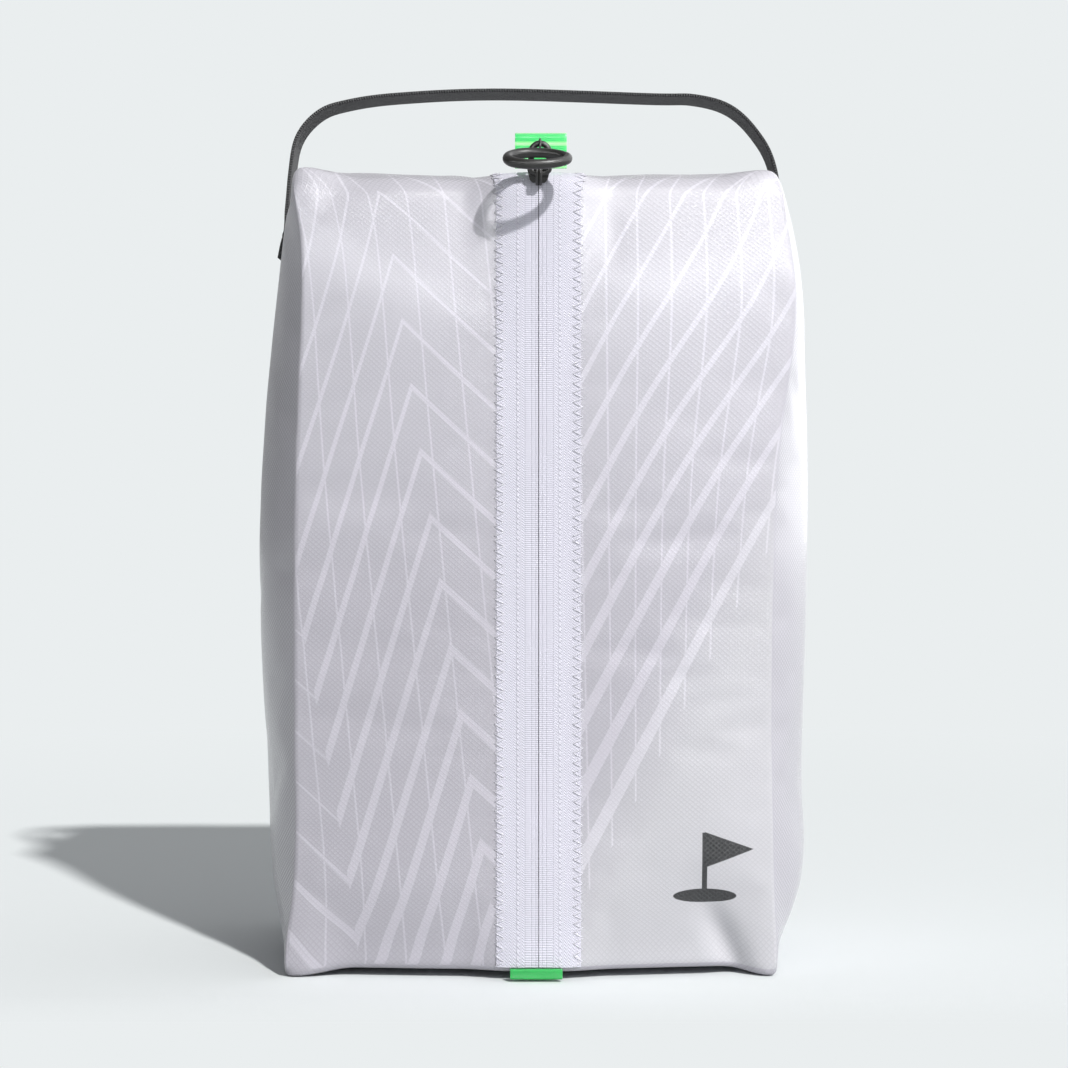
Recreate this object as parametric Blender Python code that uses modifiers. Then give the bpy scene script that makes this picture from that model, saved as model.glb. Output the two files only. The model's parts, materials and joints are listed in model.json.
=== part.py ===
"""Golf shoe bag with a full-height front zip, a webbing carry handle and two pull tabs.

The bag stands on the floor: X runs to its right, Y to its back, Z up, and the origin is under the middle
of the base. The shell is cut panels. The two front panels hinge at the side seams to stand for the
opening zip, and the slider travels down the gap between their tapes.
"""

import math

import bmesh
import bpy
from mathutils import Matrix, Vector

# Shell, in metres
WALL = 0.0015
SEAM_GAP = 0.0004
WALL_END_GAP = 0.0010
SIDE_END_GAP = 0.0018
FRONT_SEAM_X = 0.103
FRONT_SEAM_Y = -0.065
FRONT_BOW = 0.007
BACK_SEAM_X = 0.101
BACK_SEAM_Y = 0.064
BACK_BOW = 0.006
SIDE_BULGE = 0.0245
SIDE_BULGE_AT_TOP = 0.007
SIDE_BULGE_AT_BASE = 0.0035
CORNER_RELIEF = 0.0022
BASE_TOP_Z = 0.0056
BASE_INNER_RADIUS = 0.0056
CAP_BOTTOM_Z = 0.339
TOP_EDGE_RADIUS = 0.008
TOP_DOME = 0.005
INSIDE = Vector((0, 0, 0.17))

# Curves are drawn this much larger and scaled back, because filling one loses details under a millimetre
FILL_SCALE = 1000

# Zip
ZIP_X = 0.002
FRONT_Y = FRONT_SEAM_Y - FRONT_BOW
TAPE_HALF = 0.018
TAPE_THICK = 0.0005
TAPE_GAP = 0.0003
SLOT_HALF = 0.0007
PANEL_EDGE_HALF = 0.008
FLAP_TOP_Z = 0.338
FLAP_TAPE_BOTTOM_Z = 0.045
COIL_WIDTH = 0.0023
COIL_THICK = 0.0018
COIL_PITCH = 0.006
STITCH_RADIUS = 0.0003
STITCH_PITCH = 0.008
STITCH_HALF = 0.002
TAPE_OUTER_Y = FRONT_Y - TAPE_GAP - TAPE_THICK
COIL_BACK_Y = FRONT_Y + 0.00185

# Slider, link and pull ring
SLIDER_BOTTOM_Z = 0.3392
SLIDER_LENGTH = 0.0096
SLIDER_HALF_WIDE = 0.0049
SLIDER_HALF_NARROW = 0.0038
SLIDER_PLATE = 0.0012
POST_HALF = 0.0004
LOWER_PLATE_TOP_Z = 0.3416
LOWER_PLATE_LENGTH = 0.008
LOWER_PLATE_HALF = 0.0042
BRIDGE_RISE = 0.00525
BRIDGE_HALF_SPAN = 0.0036
BRIDGE_THICK = 0.0013
BRIDGE_HALF_WIDTH = 0.0014
LINK_PIVOT = Vector((ZIP_X + 0.0006, FRONT_Y - 0.0044, 0.3445))
LINK_WIRE = 0.0013
LINK_HALF_WIDTH = 0.0038
LINK_FOOT_RISE = 0.0020
LINK_HEIGHT = 0.01265
RING_PIVOT = LINK_PIVOT + Vector((0, 0, LINK_HEIGHT))
RING_TUBE = 0.00225
RING_HALF_LONG = 0.0126
RING_HALF_SHORT = 0.008
RING_FAR_SIDE = Vector((-0.001, -0.0040, -0.00465))
RING_DROOP = math.radians(27.5)
EYE_WIRE = 0.0009
EYE_RADIUS = 0.0025
EYE_STRETCH = 0.0023

# Handle
STRAP_HALF_WIDTH = 0.010
STRAP_THICK = 0.0016
HANDLE_PIVOT_Z = 0.350
HANDLE_SHOULDER_X = 0.113
HANDLE_TOP_Z = 0.395
HANDLE_END_BOTTOM_Z = 0.3175
HANDLE_END_TOP_Z = 0.3394

# Pull tabs
TAB_HALF_WIDTH = 0.0112
TAB_FILM = 0.0008
TOP_TAB_PIVOT = Vector((ZIP_X + 0.001, -0.061, 0.3497))
TOP_TAB_HEIGHT = 0.0150
TOP_TAB_HALF_DEPTH = 0.0021
BOTTOM_TAB_PIVOT = Vector((ZIP_X - 0.001, FRONT_Y - 0.0019, 0.0050))
BOTTOM_TAB_HEIGHT = 0.0042
BOTTOM_TAB_HALF_DEPTH = 0.0011

# Inside seam binding and badge
BINDING_LENGTH = 0.0075
BINDING_THICK = 0.0012
PIPING_RADIUS = 0.0009
BADGE_CENTRE_X = 0.073
BADGE_BOTTOM_Z = 0.032
BADGE_HEIGHT = 0.031
BADGE_THICK = 0.0003


# Scene and materials

def clear_scene():
    for obj in list(bpy.data.objects):
        bpy.data.objects.remove(obj, do_unlink=True)


def new_collection(name):
    collection = bpy.data.collections.new(name)
    bpy.context.scene.collection.children.link(collection)
    return collection


def material(name, colour, roughness, metallic=0.0, alpha=1.0):
    made = bpy.data.materials.new(name)
    made.use_nodes = True
    shader = made.node_tree.nodes["Principled BSDF"]
    shader.inputs["Base Color"].default_value = (*colour, 1)
    shader.inputs["Roughness"].default_value = roughness
    shader.inputs["Metallic"].default_value = metallic
    shader.inputs["Alpha"].default_value = alpha
    return made


def make_materials():
    return {
        "shell": material("shell_fabric", (0.80, 0.79, 0.84), 0.42),
        "tape": material("zip_tape", (0.82, 0.81, 0.88), 0.75),
        "coil": material("zip_coil", (0.84, 0.83, 0.88), 0.4),
        "thread": material("white_thread", (0.88, 0.87, 0.92), 0.6),
        "webbing": material("webbing", (0.045, 0.045, 0.047), 0.8),
        "black": material("black_plastic", (0.018, 0.017, 0.016), 0.35),
        "green": material("green_film", (0.08, 0.75, 0.22), 0.2, alpha=0.8),
        "print": material("printed_film", (0.04, 0.04, 0.045), 0.5),
        "binding": material("seam_binding", (0.72, 0.72, 0.76), 0.8),
    }


# Mesh helpers

def mesh_object(name, bm, collection, look=None):
    mesh = bpy.data.meshes.new(name)
    bm.to_mesh(mesh)
    bm.free()
    obj = bpy.data.objects.new(name, mesh)
    collection.objects.link(obj)
    if look:
        mesh.materials.append(look)
    return obj


def face_outwards(bm):
    bm.normal_update()
    facing = sum(face.normal.dot(face.calc_center_median() - INSIDE) for face in bm.faces)
    if facing < 0:
        bmesh.ops.reverse_faces(bm, faces=bm.faces)


def solidify_inwards(obj, thickness=WALL):
    shell = obj.modifiers.new("wall", "SOLIDIFY")
    shell.thickness = thickness
    shell.offset = -1
    shell.use_even_offset = True
    obj.data.shade_smooth()
    obj.data.set_sharp_from_angle(angle=math.radians(40))


def grid_panel(name, across, up, place, collection, look, keep=lambda u, v: True):
    """An open sheet over the values of across and up, thickened inwards to the wall thickness."""
    bm = bmesh.new()
    points = [[bm.verts.new(place(u, v)) for u in across] for v in up]
    for row in range(len(up) - 1):
        for column in range(len(across) - 1):
            u = (across[column] + across[column + 1]) / 2
            v = (up[row] + up[row + 1]) / 2
            if keep(u, v):
                low, high = points[row], points[row + 1]
                bm.faces.new((low[column], low[column + 1], high[column + 1], high[column]))
    loose = [vert for vert in bm.verts if not vert.link_faces]
    bmesh.ops.delete(bm, geom=loose, context="VERTS")
    face_outwards(bm)
    panel = mesh_object(name, bm, collection, look)
    solidify_inwards(panel)
    return panel


def outline_solid(name, outlines, thickness, to_world, collection, look=None):
    """A flat outline, with any holes as further outlines, filled and given a thickness about its plane."""
    curve = bpy.data.curves.new(name, "CURVE")
    curve.dimensions = "2D"
    curve.fill_mode = "BOTH"
    curve.extrude = thickness / 2 * FILL_SCALE
    for outline in outlines:
        spline = curve.splines.new("POLY")
        spline.points.add(len(outline) - 1)
        for point, (x, y) in zip(spline.points, outline):
            point.co = (x * FILL_SCALE, y * FILL_SCALE, 0, 1)
        spline.use_cyclic_u = True
    return curve_to_mesh(name, curve, to_world, collection, look)


def wire_solid(name, points, radius, to_world, collection, look=None, cyclic=False, sides=2):
    """A round wire along straight stretches between the points."""
    curve = bpy.data.curves.new(name, "CURVE")
    curve.dimensions = "3D"
    curve.bevel_depth = radius * FILL_SCALE
    curve.bevel_resolution = sides
    curve.use_fill_caps = True
    spline = curve.splines.new("POLY")
    spline.points.add(len(points) - 1)
    for point, place in zip(spline.points, points):
        point.co = (*(Vector(place) * FILL_SCALE), 1)
    spline.use_cyclic_u = cyclic
    return curve_to_mesh(name, curve, to_world, collection, look)


def curve_to_mesh(name, curve, to_world, collection, look):
    """Turns the curve into a closed mesh whose vertices are measured from the object's own place."""
    helper = bpy.data.objects.new(name + "_curve", curve)
    bpy.context.scene.collection.objects.link(helper)
    bpy.context.view_layer.update()
    graph = bpy.context.evaluated_depsgraph_get()
    mesh = bpy.data.meshes.new_from_object(helper.evaluated_get(graph))
    bpy.data.objects.remove(helper, do_unlink=True)
    bm = bmesh.new()
    bm.from_mesh(mesh)
    bmesh.ops.scale(bm, vec=(1 / FILL_SCALE,) * 3, verts=bm.verts)
    bmesh.ops.remove_doubles(bm, verts=bm.verts, dist=0.00001)
    bmesh.ops.recalc_face_normals(bm, faces=bm.faces)
    bpy.data.meshes.remove(mesh)
    obj = mesh_object(name, bm, collection, look)
    obj.matrix_world = to_world
    return obj


def box(name, low, high, collection, look=None):
    bm = bmesh.new()
    bmesh.ops.create_cube(bm, size=1)
    size = Vector(high) - Vector(low)
    bmesh.ops.scale(bm, vec=size, verts=bm.verts)
    obj = mesh_object(name, bm, collection, look)
    obj.location = (Vector(low) + Vector(high)) / 2
    return obj


def boolean(obj, other, operation):
    step = obj.modifiers.new(other.name, "BOOLEAN")
    step.operation = operation
    step.object = other
    other.hide_render = True
    other.display_type = "WIRE"


def joint_empty(name, place, collection):
    empty = bpy.data.objects.new(name, None)
    empty.location = place
    collection.objects.link(empty)
    return empty


def hang_on(empty, *parts):
    bpy.context.view_layer.update()
    for part in parts:
        world = part.matrix_world.copy()
        part.parent = empty
        part.matrix_parent_inverse = empty.matrix_world.inverted()
        part.matrix_world = world


def side_view(place=(0, 0, 0)):
    """Lays an outline drawn as (y, z) in the plane square to X, at this place."""
    turn = Matrix(((0, 0, 1), (1, 0, 0), (0, 1, 0))).to_4x4()
    return Matrix.Translation(place) @ turn


def front_view(place=(0, 0, 0)):
    """Lays an outline drawn as (x, z) in the plane square to Y, at this place."""
    return Matrix.Translation(place) @ Matrix.Rotation(math.pi / 2, 4, "X")


# The shell's shape

def steps(start, end, count):
    return [start + (end - start) * index / count for index in range(count + 1)]


def eased_steps(start, end, count):
    """Steps that crowd towards both ends, where the sides curve most."""
    return [start + (end - start) * (1 - math.cos(math.pi * index / count)) / 2 for index in range(count + 1)]


def fullness(z):
    """0 at the top and bottom of the walls and 1 halfway up."""
    share = min(1, max(0, (z - BASE_TOP_Z) / (CAP_BOTTOM_Z - BASE_TOP_Z)))
    return math.sqrt(math.sin(math.pi * share))


def front_y(x):
    return FRONT_SEAM_Y - FRONT_BOW * (1 - (x / FRONT_SEAM_X) ** 2)


def back_y(x):
    return BACK_SEAM_Y + BACK_BOW * (1 - (x / BACK_SEAM_X) ** 2)


def side_x(y, z):
    share = (y - FRONT_SEAM_Y) / (BACK_SEAM_Y - FRONT_SEAM_Y)
    height = (z - BASE_TOP_Z) / (CAP_BOTTOM_Z - BASE_TOP_Z)
    edge = SIDE_BULGE_AT_BASE + (SIDE_BULGE_AT_TOP - SIDE_BULGE_AT_BASE) * height
    bulge = edge + (SIDE_BULGE - edge) * fullness(z)
    seam = FRONT_SEAM_X + (BACK_SEAM_X - FRONT_SEAM_X) * share
    return seam + bulge * 4 * share * (1 - share)


def outline(z, count=9):
    """The bag's plan at height z, anticlockwise from the left front seam."""
    front = [(x, front_y(x)) for x in steps(-FRONT_SEAM_X, FRONT_SEAM_X, count)]
    right = [(side_x(y, z), y) for y in steps(FRONT_SEAM_Y, BACK_SEAM_Y, count)]
    back = [(x, back_y(x)) for x in steps(BACK_SEAM_X, -BACK_SEAM_X, count)]
    left = [(-x, y) for x, y in reversed(right)]
    return front[:-1] + right[:-1] + back[:-1] + left[:-1]


def inset_ring(bm, plan, inset, z, share=1.0):
    across = (1 - inset / FRONT_SEAM_X) * share
    deep = (1 - inset / -FRONT_SEAM_Y) * share
    return [bm.verts.new((x * across, y * deep, z)) for x, y in plan]


def closed_end(name, rings, centre_z, collection, look):
    """A tray or cap: rings of (inset, height, share of the plan) closed by a fan at the middle."""
    bm = bmesh.new()
    plan = outline(rings[0][1])
    rows = [inset_ring(bm, plan, inset, z, share) for inset, z, share in rings]
    count = len(plan)
    for low, high in zip(rows, rows[1:]):
        for index in range(count):
            after = (index + 1) % count
            bm.faces.new((low[index], low[after], high[after], high[index]))
    centre = bm.verts.new((0, 0, centre_z))
    for index in range(count):
        bm.faces.new((rows[-1][index], rows[-1][(index + 1) % count], centre))
    face_outwards(bm)
    end = mesh_object(name, bm, collection, look)
    solidify_inwards(end)
    return end


# Shell panels

def make_side_panels(parts, looks):
    across = steps(FRONT_SEAM_Y + CORNER_RELIEF, BACK_SEAM_Y - CORNER_RELIEF, 8)
    up = eased_steps(BASE_TOP_Z + SIDE_END_GAP, CAP_BOTTOM_Z - SIDE_END_GAP, 12)
    for name, side in (("left_side_panel", -1), ("right_side_panel", 1)):
        place = lambda y, z, side=side: (side * side_x(y, z), y, z)
        grid_panel(name, across, up, place, parts, looks["shell"])


def make_back_panel(parts, looks):
    half = BACK_SEAM_X - SEAM_GAP
    up = steps(BASE_TOP_Z + WALL_END_GAP, CAP_BOTTOM_Z - WALL_END_GAP, 6)
    place = lambda x, z: (x, back_y(x), z)
    return grid_panel("back_panel", steps(-half, half, 10), up, place, parts, looks["shell"])


def make_front_panel(name, side, parts, looks):
    """One front panel, from its side seam to under the zip tape, cut out round the tape's sewn lower end."""
    seam = side * (FRONT_SEAM_X - SEAM_GAP)
    cut = ZIP_X + side * (TAPE_HALF + SEAM_GAP)
    edge = ZIP_X + side * PANEL_EDGE_HALF
    across = steps(seam, cut, 7) + [edge]
    up = [BASE_TOP_Z + WALL_END_GAP] + steps(FLAP_TAPE_BOTTOM_Z, FLAP_TOP_Z, 4)
    beside_cut = lambda x, z: z > FLAP_TAPE_BOTTOM_Z or abs(x - ZIP_X) > TAPE_HALF
    return grid_panel(name, across, up, lambda x, z: (x, front_y(x), z), parts, looks["shell"], beside_cut)


def make_top_panel(parts, helpers, looks):
    arc = [math.radians(angle) for angle in (0, 22.5, 45, 67.5, 90)]
    rings = [
        (TOP_EDGE_RADIUS * (1 - math.cos(a)), CAP_BOTTOM_Z + TOP_EDGE_RADIUS * math.sin(a), 1) for a in arc
    ]
    edge_z = CAP_BOTTOM_Z + TOP_EDGE_RADIUS
    rings += [(TOP_EDGE_RADIUS, edge_z + TOP_DOME * (1 - share**2), share) for share in (0.8, 0.4)]
    top = closed_end("top_panel", rings, edge_z + TOP_DOME, parts, looks["shell"])
    low = (ZIP_X - 0.004, FRONT_Y - 0.01, CAP_BOTTOM_Z - 0.01)
    high = (ZIP_X + 0.004, FRONT_Y + 0.006, CAP_BOTTOM_Z + 0.005)
    boolean(top, box("zip_mouth_cutter", low, high, helpers), "DIFFERENCE")
    return top


def make_base_panel(parts, looks):
    arc = [math.radians(angle) for angle in (0, 30, 60, 90)]
    rings = [
        (BASE_INNER_RADIUS * (1 - math.cos(a)), BASE_TOP_Z - BASE_INNER_RADIUS * math.sin(a), 1) for a in arc
    ]
    rings.append((BASE_INNER_RADIUS, 0, 0.5))
    return closed_end("base_panel", rings, 0, parts, looks["shell"])


# Seams inside the bag

def make_corner_bindings(parts, looks):
    """The folded seam allowance that stands inwards from each upright corner seam."""
    corners = {
        "left_front": (-1, FRONT_SEAM_X, FRONT_SEAM_Y, 1),
        "right_front": (1, FRONT_SEAM_X, FRONT_SEAM_Y, 1),
        "left_back": (-1, BACK_SEAM_X, BACK_SEAM_Y, -1),
        "right_back": (1, BACK_SEAM_X, BACK_SEAM_Y, -1),
    }
    for name, (side, seam_x, seam_y, inwards) in corners.items():
        direction = Vector((-side * 0.58, inwards * 0.81, 0)).normalized()
        near = Vector((side * seam_x, seam_y, 0)) + direction * 0.0034
        centre = near + direction * BINDING_LENGTH / 2
        low = Vector((-BINDING_LENGTH / 2, -BINDING_THICK / 2, 0.012))
        high = Vector((BINDING_LENGTH / 2, BINDING_THICK / 2, 0.330))
        strip = box(name + "_binding", low, high, parts, looks["binding"])
        strip.rotation_euler.z = math.atan2(direction.y, direction.x)
        strip.location.x = centre.x
        strip.location.y = centre.y


def make_piping(name, z, parts, looks):
    """The bound seam edge that follows the sides and back, just inside the walls."""
    inset = 0.0045
    count = 6
    right = [(side_x(y, z) - inset, y) for y in steps(FRONT_SEAM_Y + 0.014, BACK_SEAM_Y - 0.010, count)]
    back = [(x, back_y(x) - inset) for x in steps(BACK_SEAM_X - 0.010, -BACK_SEAM_X + 0.010, count)]
    left = [(-x, y) for x, y in reversed(right)]
    path = [(x, y, z) for x, y in right + back + left]
    return wire_solid(name, path, PIPING_RADIUS, Matrix.Identity(4), parts, looks["binding"], sides=1)


# Zip

def make_tape(name, side, parts, looks):
    """The moving length of one tape, sewn on the outside of its front panel."""
    inner = ZIP_X + side * SLOT_HALF
    outer = ZIP_X + side * TAPE_HALF
    low = (min(inner, outer), TAPE_OUTER_Y, FLAP_TAPE_BOTTOM_Z)
    high = (max(inner, outer), TAPE_OUTER_Y + TAPE_THICK, FLAP_TOP_Z)
    return box(name, low, high, parts, looks["tape"])


def make_coil(name, side, parts, looks):
    """The row of teeth behind one tape: a comb whose teeth point at the middle of the zip."""
    root = COIL_WIDTH * 0.55
    start = FLAP_TAPE_BOTTOM_Z + 0.001
    count = int((FLAP_TOP_Z - 0.001 - start) / COIL_PITCH)
    comb = [(COIL_WIDTH, start), (COIL_WIDTH, start + count * COIL_PITCH)]
    for index in reversed(range(count)):
        foot = start + index * COIL_PITCH
        comb += [(root, foot + 0.7 * COIL_PITCH), (0, foot + 0.55 * COIL_PITCH)]
        comb += [(0, foot + 0.2 * COIL_PITCH), (root, foot)]
    comb = [(SLOT_HALF + x, z) for x, z in comb]
    half_turn = Matrix.Rotation(0 if side > 0 else math.pi, 4, "Z")
    place = Matrix.Translation((ZIP_X, COIL_BACK_Y - COIL_THICK / 2, 0)) @ half_turn @ front_view()
    return outline_solid(name, [comb], COIL_THICK, place, parts, looks["coil"])


def make_zigzag(name, side, parts, looks):
    """The zig-zag seam that holds the outer edge of one tape to its panel."""
    centre = ZIP_X + side * (TAPE_HALF - 0.0012)
    start = FLAP_TAPE_BOTTOM_Z + 0.002
    count = int((FLAP_TOP_Z - 0.002 - start) / (STITCH_PITCH / 2))
    y = TAPE_OUTER_Y - TAPE_GAP - STITCH_RADIUS
    sway = [STITCH_HALF if index % 2 else -STITCH_HALF for index in range(count + 1)]
    path = [(centre + sway[index], y, start + index * STITCH_PITCH / 2) for index in range(count + 1)]
    return wire_solid(name, path, STITCH_RADIUS, Matrix.Identity(4), parts, looks["thread"], sides=0)


def make_top_tape_end(parts, helpers, looks):
    """The tape's sewn upper end: it follows the rounded top edge, slit where the slider stands."""
    inner = TOP_EDGE_RADIUS + TAPE_GAP
    outer = inner + TAPE_THICK
    turns = [math.radians(angle) for angle in (0, 20, 40, 60, 80, 90)]
    centre_y = FRONT_Y + TOP_EDGE_RADIUS
    centre_z = CAP_BOTTOM_Z
    near = [(centre_y - outer * math.cos(a), centre_z + outer * math.sin(a)) for a in turns]
    far = [(centre_y - inner * math.cos(a), centre_z + inner * math.sin(a)) for a in reversed(turns)]
    profile = [(near[0][0], FLAP_TOP_Z + SEAM_GAP)] + near + far + [(far[-1][0], FLAP_TOP_Z + SEAM_GAP)]
    place = side_view((ZIP_X, 0, 0))
    end = outline_solid("zip_top_tape_end", [profile], 2 * TAPE_HALF, place, parts, looks["tape"])
    low = (ZIP_X - SLOT_HALF, FRONT_Y - 0.01, FLAP_TOP_Z - 0.01)
    high = (ZIP_X + SLOT_HALF, FRONT_Y + 0.01, LOWER_PLATE_TOP_Z + 0.0005)
    boolean(end, box("top_slit_cutter", low, high, helpers), "DIFFERENCE")
    return end


def make_bottom_tape_end(parts, helpers, looks):
    """The tape's sewn lower end, slit as far as the slider's lowest place."""
    low = (ZIP_X - TAPE_HALF, TAPE_OUTER_Y, BASE_TOP_Z + 0.0009)
    high = (ZIP_X + TAPE_HALF, TAPE_OUTER_Y + TAPE_THICK, FLAP_TAPE_BOTTOM_Z - SEAM_GAP)
    end = box("zip_bottom_tape_end", low, high, parts, looks["tape"])
    slit_low = (ZIP_X - SLOT_HALF, FRONT_Y - 0.01, 0.035)
    slit_high = (ZIP_X + SLOT_HALF, FRONT_Y + 0.01, FLAP_TAPE_BOTTOM_Z + 0.01)
    boolean(end, box("bottom_slit_cutter", slit_low, slit_high, helpers), "DIFFERENCE")
    return end


def make_zip_stops(parts, looks):
    half = SLOT_HALF + COIL_WIDTH
    low = (ZIP_X - half, COIL_BACK_Y - COIL_THICK, 0.029)
    high = (ZIP_X + half, COIL_BACK_Y, 0.0344)
    box("zip_bottom_stop", low, high, parts, looks["coil"])
    low = (ZIP_X - half, FRONT_Y + 0.0014, LOWER_PLATE_TOP_Z + 0.0005)
    high = (ZIP_X + half, FRONT_Y + 0.0024, LOWER_PLATE_TOP_Z + 0.0020)
    box("zip_top_stop", low, high, parts, looks["coil"])


def make_slider(parts, helpers, looks):
    """Outer plate with its bridge, a thin post through the slot, and the plate behind the teeth."""
    top_z = SLIDER_BOTTOM_Z + SLIDER_LENGTH
    wide, narrow = SLIDER_HALF_WIDE, SLIDER_HALF_NARROW
    plan = [(-narrow, SLIDER_BOTTOM_Z + 0.0012), (-narrow + 0.0012, SLIDER_BOTTOM_Z)]
    plan += [(narrow - 0.0012, SLIDER_BOTTOM_Z), (narrow, SLIDER_BOTTOM_Z + 0.0012)]
    plan += [(wide, top_z - 0.0022), (wide - 0.0016, top_z), (-wide + 0.0016, top_z), (-wide, top_z - 0.0022)]
    plate_back = TAPE_OUTER_Y - TAPE_GAP
    place = front_view((ZIP_X, plate_back - SLIDER_PLATE / 2, 0))
    slider = outline_solid("zip_slider", [plan], SLIDER_PLATE, place, parts, looks["black"])
    base_y = plate_back - SLIDER_PLATE / 2
    middle_z = LINK_PIVOT.z + 0.0001
    turns = steps(-math.pi / 2, math.pi / 2, 8)
    rise, span = BRIDGE_RISE + BRIDGE_THICK / 2, BRIDGE_HALF_SPAN + BRIDGE_THICK / 2
    outer = [(base_y - rise * math.cos(a), middle_z + span * math.sin(a)) for a in turns]
    rise, span = rise - BRIDGE_THICK, span - BRIDGE_THICK
    inner = [(base_y - rise * math.cos(a), middle_z + span * math.sin(a)) for a in reversed(turns)]
    bridge = outline_solid(
        "slider_bridge_helper", [outer + inner], 2 * BRIDGE_HALF_WIDTH, side_view((ZIP_X, 0, 0)), helpers
    )
    post = box(
        "slider_post_helper",
        (ZIP_X - POST_HALF, base_y, SLIDER_BOTTOM_Z + 0.0003),
        (ZIP_X + POST_HALF, COIL_BACK_Y + 0.0009, LOWER_PLATE_TOP_Z - 0.0002),
        helpers,
    )
    lower = box(
        "slider_lower_plate_helper",
        (ZIP_X - LOWER_PLATE_HALF, COIL_BACK_Y + 0.00035, LOWER_PLATE_TOP_Z - LOWER_PLATE_LENGTH),
        (ZIP_X + LOWER_PLATE_HALF, COIL_BACK_Y + 0.00135, LOWER_PLATE_TOP_Z),
        helpers,
    )
    for piece in (bridge, post, lower):
        boolean(slider, piece, "UNION")
    return slider


def make_link(parts, looks):
    """A closed wire link, round at its top, whose flatter lower bar lies under the slider's bridge."""
    half = LINK_HALF_WIDTH
    count = 10
    low_turns = [math.pi + math.pi * index / count for index in range(count + 1)]
    high_turns = [math.pi * index / count for index in range(count + 1)]
    foot = LINK_FOOT_RISE
    path = [(half * math.cos(a), 0, foot + foot * math.sin(a)) for a in low_turns]
    path += [(half * math.cos(a), 0, LINK_HEIGHT - half + half * math.sin(a)) for a in high_turns]
    place = Matrix.Translation(LINK_PIVOT)
    return wire_solid("pull_link", path, LINK_WIRE, place, parts, looks["black"], True)


def make_pull_ring(parts, helpers, looks):
    """The oval finger ring, fuller at its left end, with the eye that holds it on the link."""
    count = 28
    forward = Vector((0, -math.cos(RING_DROOP), -math.sin(RING_DROOP)))
    centre = RING_FAR_SIDE + forward * RING_HALF_SHORT
    path = []
    for index in range(count):
        turn = 2 * math.pi * index / count
        fuller = 1 - 0.10 * math.cos(turn)
        across = Vector((RING_HALF_LONG * math.cos(turn), 0, 0))
        path.append(centre + across + forward * RING_HALF_SHORT * fuller * math.sin(turn))
    place = Matrix.Translation(RING_PIVOT)
    ring = wire_solid("pull_ring", path, RING_TUBE, place, parts, looks["black"], True)
    lean = math.atan2(RING_FAR_SIDE.z, RING_FAR_SIDE.y)
    eye = []
    for index in range(16):
        turn = 2 * math.pi * index / 16
        reach = EYE_RADIUS + EYE_STRETCH * max(0, math.cos(turn - lean)) ** 2
        eye.append((0, reach * math.cos(turn), reach * math.sin(turn)))
    eye_helper = wire_solid("ring_eye_helper", eye, EYE_WIRE, place, helpers, None, True, sides=1)
    boolean(ring, eye_helper, "UNION")
    return ring


# Carry handle

def strap_outline(path, thickness=STRAP_THICK):
    """A band of even thickness along a path of (x, z) points."""
    left, right = [], []
    for index, (x, z) in enumerate(path):
        before = path[max(0, index - 1)]
        after = path[min(len(path) - 1, index + 1)]
        along = Vector((after[0] - before[0], after[1] - before[1])).normalized()
        aside = Vector((-along.y, along.x)) * thickness / 2
        left.append((x + aside.x, z + aside.y))
        right.append((x - aside.x, z - aside.y))
    return left + right[::-1]


def handle_path(count=25):
    """The strap from its left pivot over the top to its right pivot, as a flattened arch."""
    path = []
    rise = HANDLE_TOP_Z - STRAP_THICK / 2 - HANDLE_PIVOT_Z
    for index in range(count + 1):
        turn = math.pi * (1 - index / count)
        across = math.copysign(abs(math.cos(turn)) ** 0.66, math.cos(turn))
        path.append((HANDLE_SHOULDER_X * across, HANDLE_PIVOT_Z + rise * math.sin(turn) ** 0.55))
    return path


def make_handle(parts, helpers, looks):
    """The free loop. Each lower end is rounded about the line the handle swings on."""
    band = strap_outline(handle_path())
    strap = outline_solid("carry_handle", [band], 2 * STRAP_HALF_WIDTH, front_view(), parts, looks["webbing"])
    disc = [
        (STRAP_HALF_WIDTH * math.cos(turn), STRAP_HALF_WIDTH * math.sin(turn))
        for turn in steps(0, 2 * math.pi, 24)[:-1]
    ]
    for side, name in ((-1, "left"), (1, "right")):
        place = side_view((side * HANDLE_SHOULDER_X, 0, HANDLE_PIVOT_Z))
        end = outline_solid(name + "_handle_disc_helper", [disc], STRAP_THICK, place, helpers)
        boolean(strap, end, "UNION")
    return strap


def handle_end_x(z):
    """How far out the middle of the sewn strap lies: on the side panel, then upright to the pivot."""
    on_panel = side_x(0, min(z, CAP_BOTTOM_Z)) + SEAM_GAP + STRAP_THICK / 2
    return max(on_panel, HANDLE_SHOULDER_X)


def make_handle_end(name, side, parts, looks):
    path = [(side * handle_end_x(z), z) for z in steps(HANDLE_END_BOTTOM_Z, HANDLE_END_TOP_Z, 6)]
    band = strap_outline(path)
    return outline_solid(name, [band], 2 * STRAP_HALF_WIDTH, front_view(), parts, looks["webbing"])


def make_handle_stitch(name, side, parts, looks):
    """The box of stitches on the face of one sewn strap end."""
    lift = STRAP_THICK / 2 + STITCH_RADIUS + 2 * SEAM_GAP
    half = STRAP_HALF_WIDTH - 0.0025
    levels = steps(HANDLE_END_BOTTOM_Z + 0.003, HANDLE_END_TOP_Z - 0.003, 3)
    up = [(side * (handle_end_x(z) + lift), -half, z) for z in levels]
    down = [(side * (handle_end_x(z) + lift), half, z) for z in reversed(levels)]
    loop = up + down
    return wire_solid(name, loop, STITCH_RADIUS, Matrix.Identity(4), parts, looks["webbing"], True, sides=1)


# Pull tabs and badge

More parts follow.
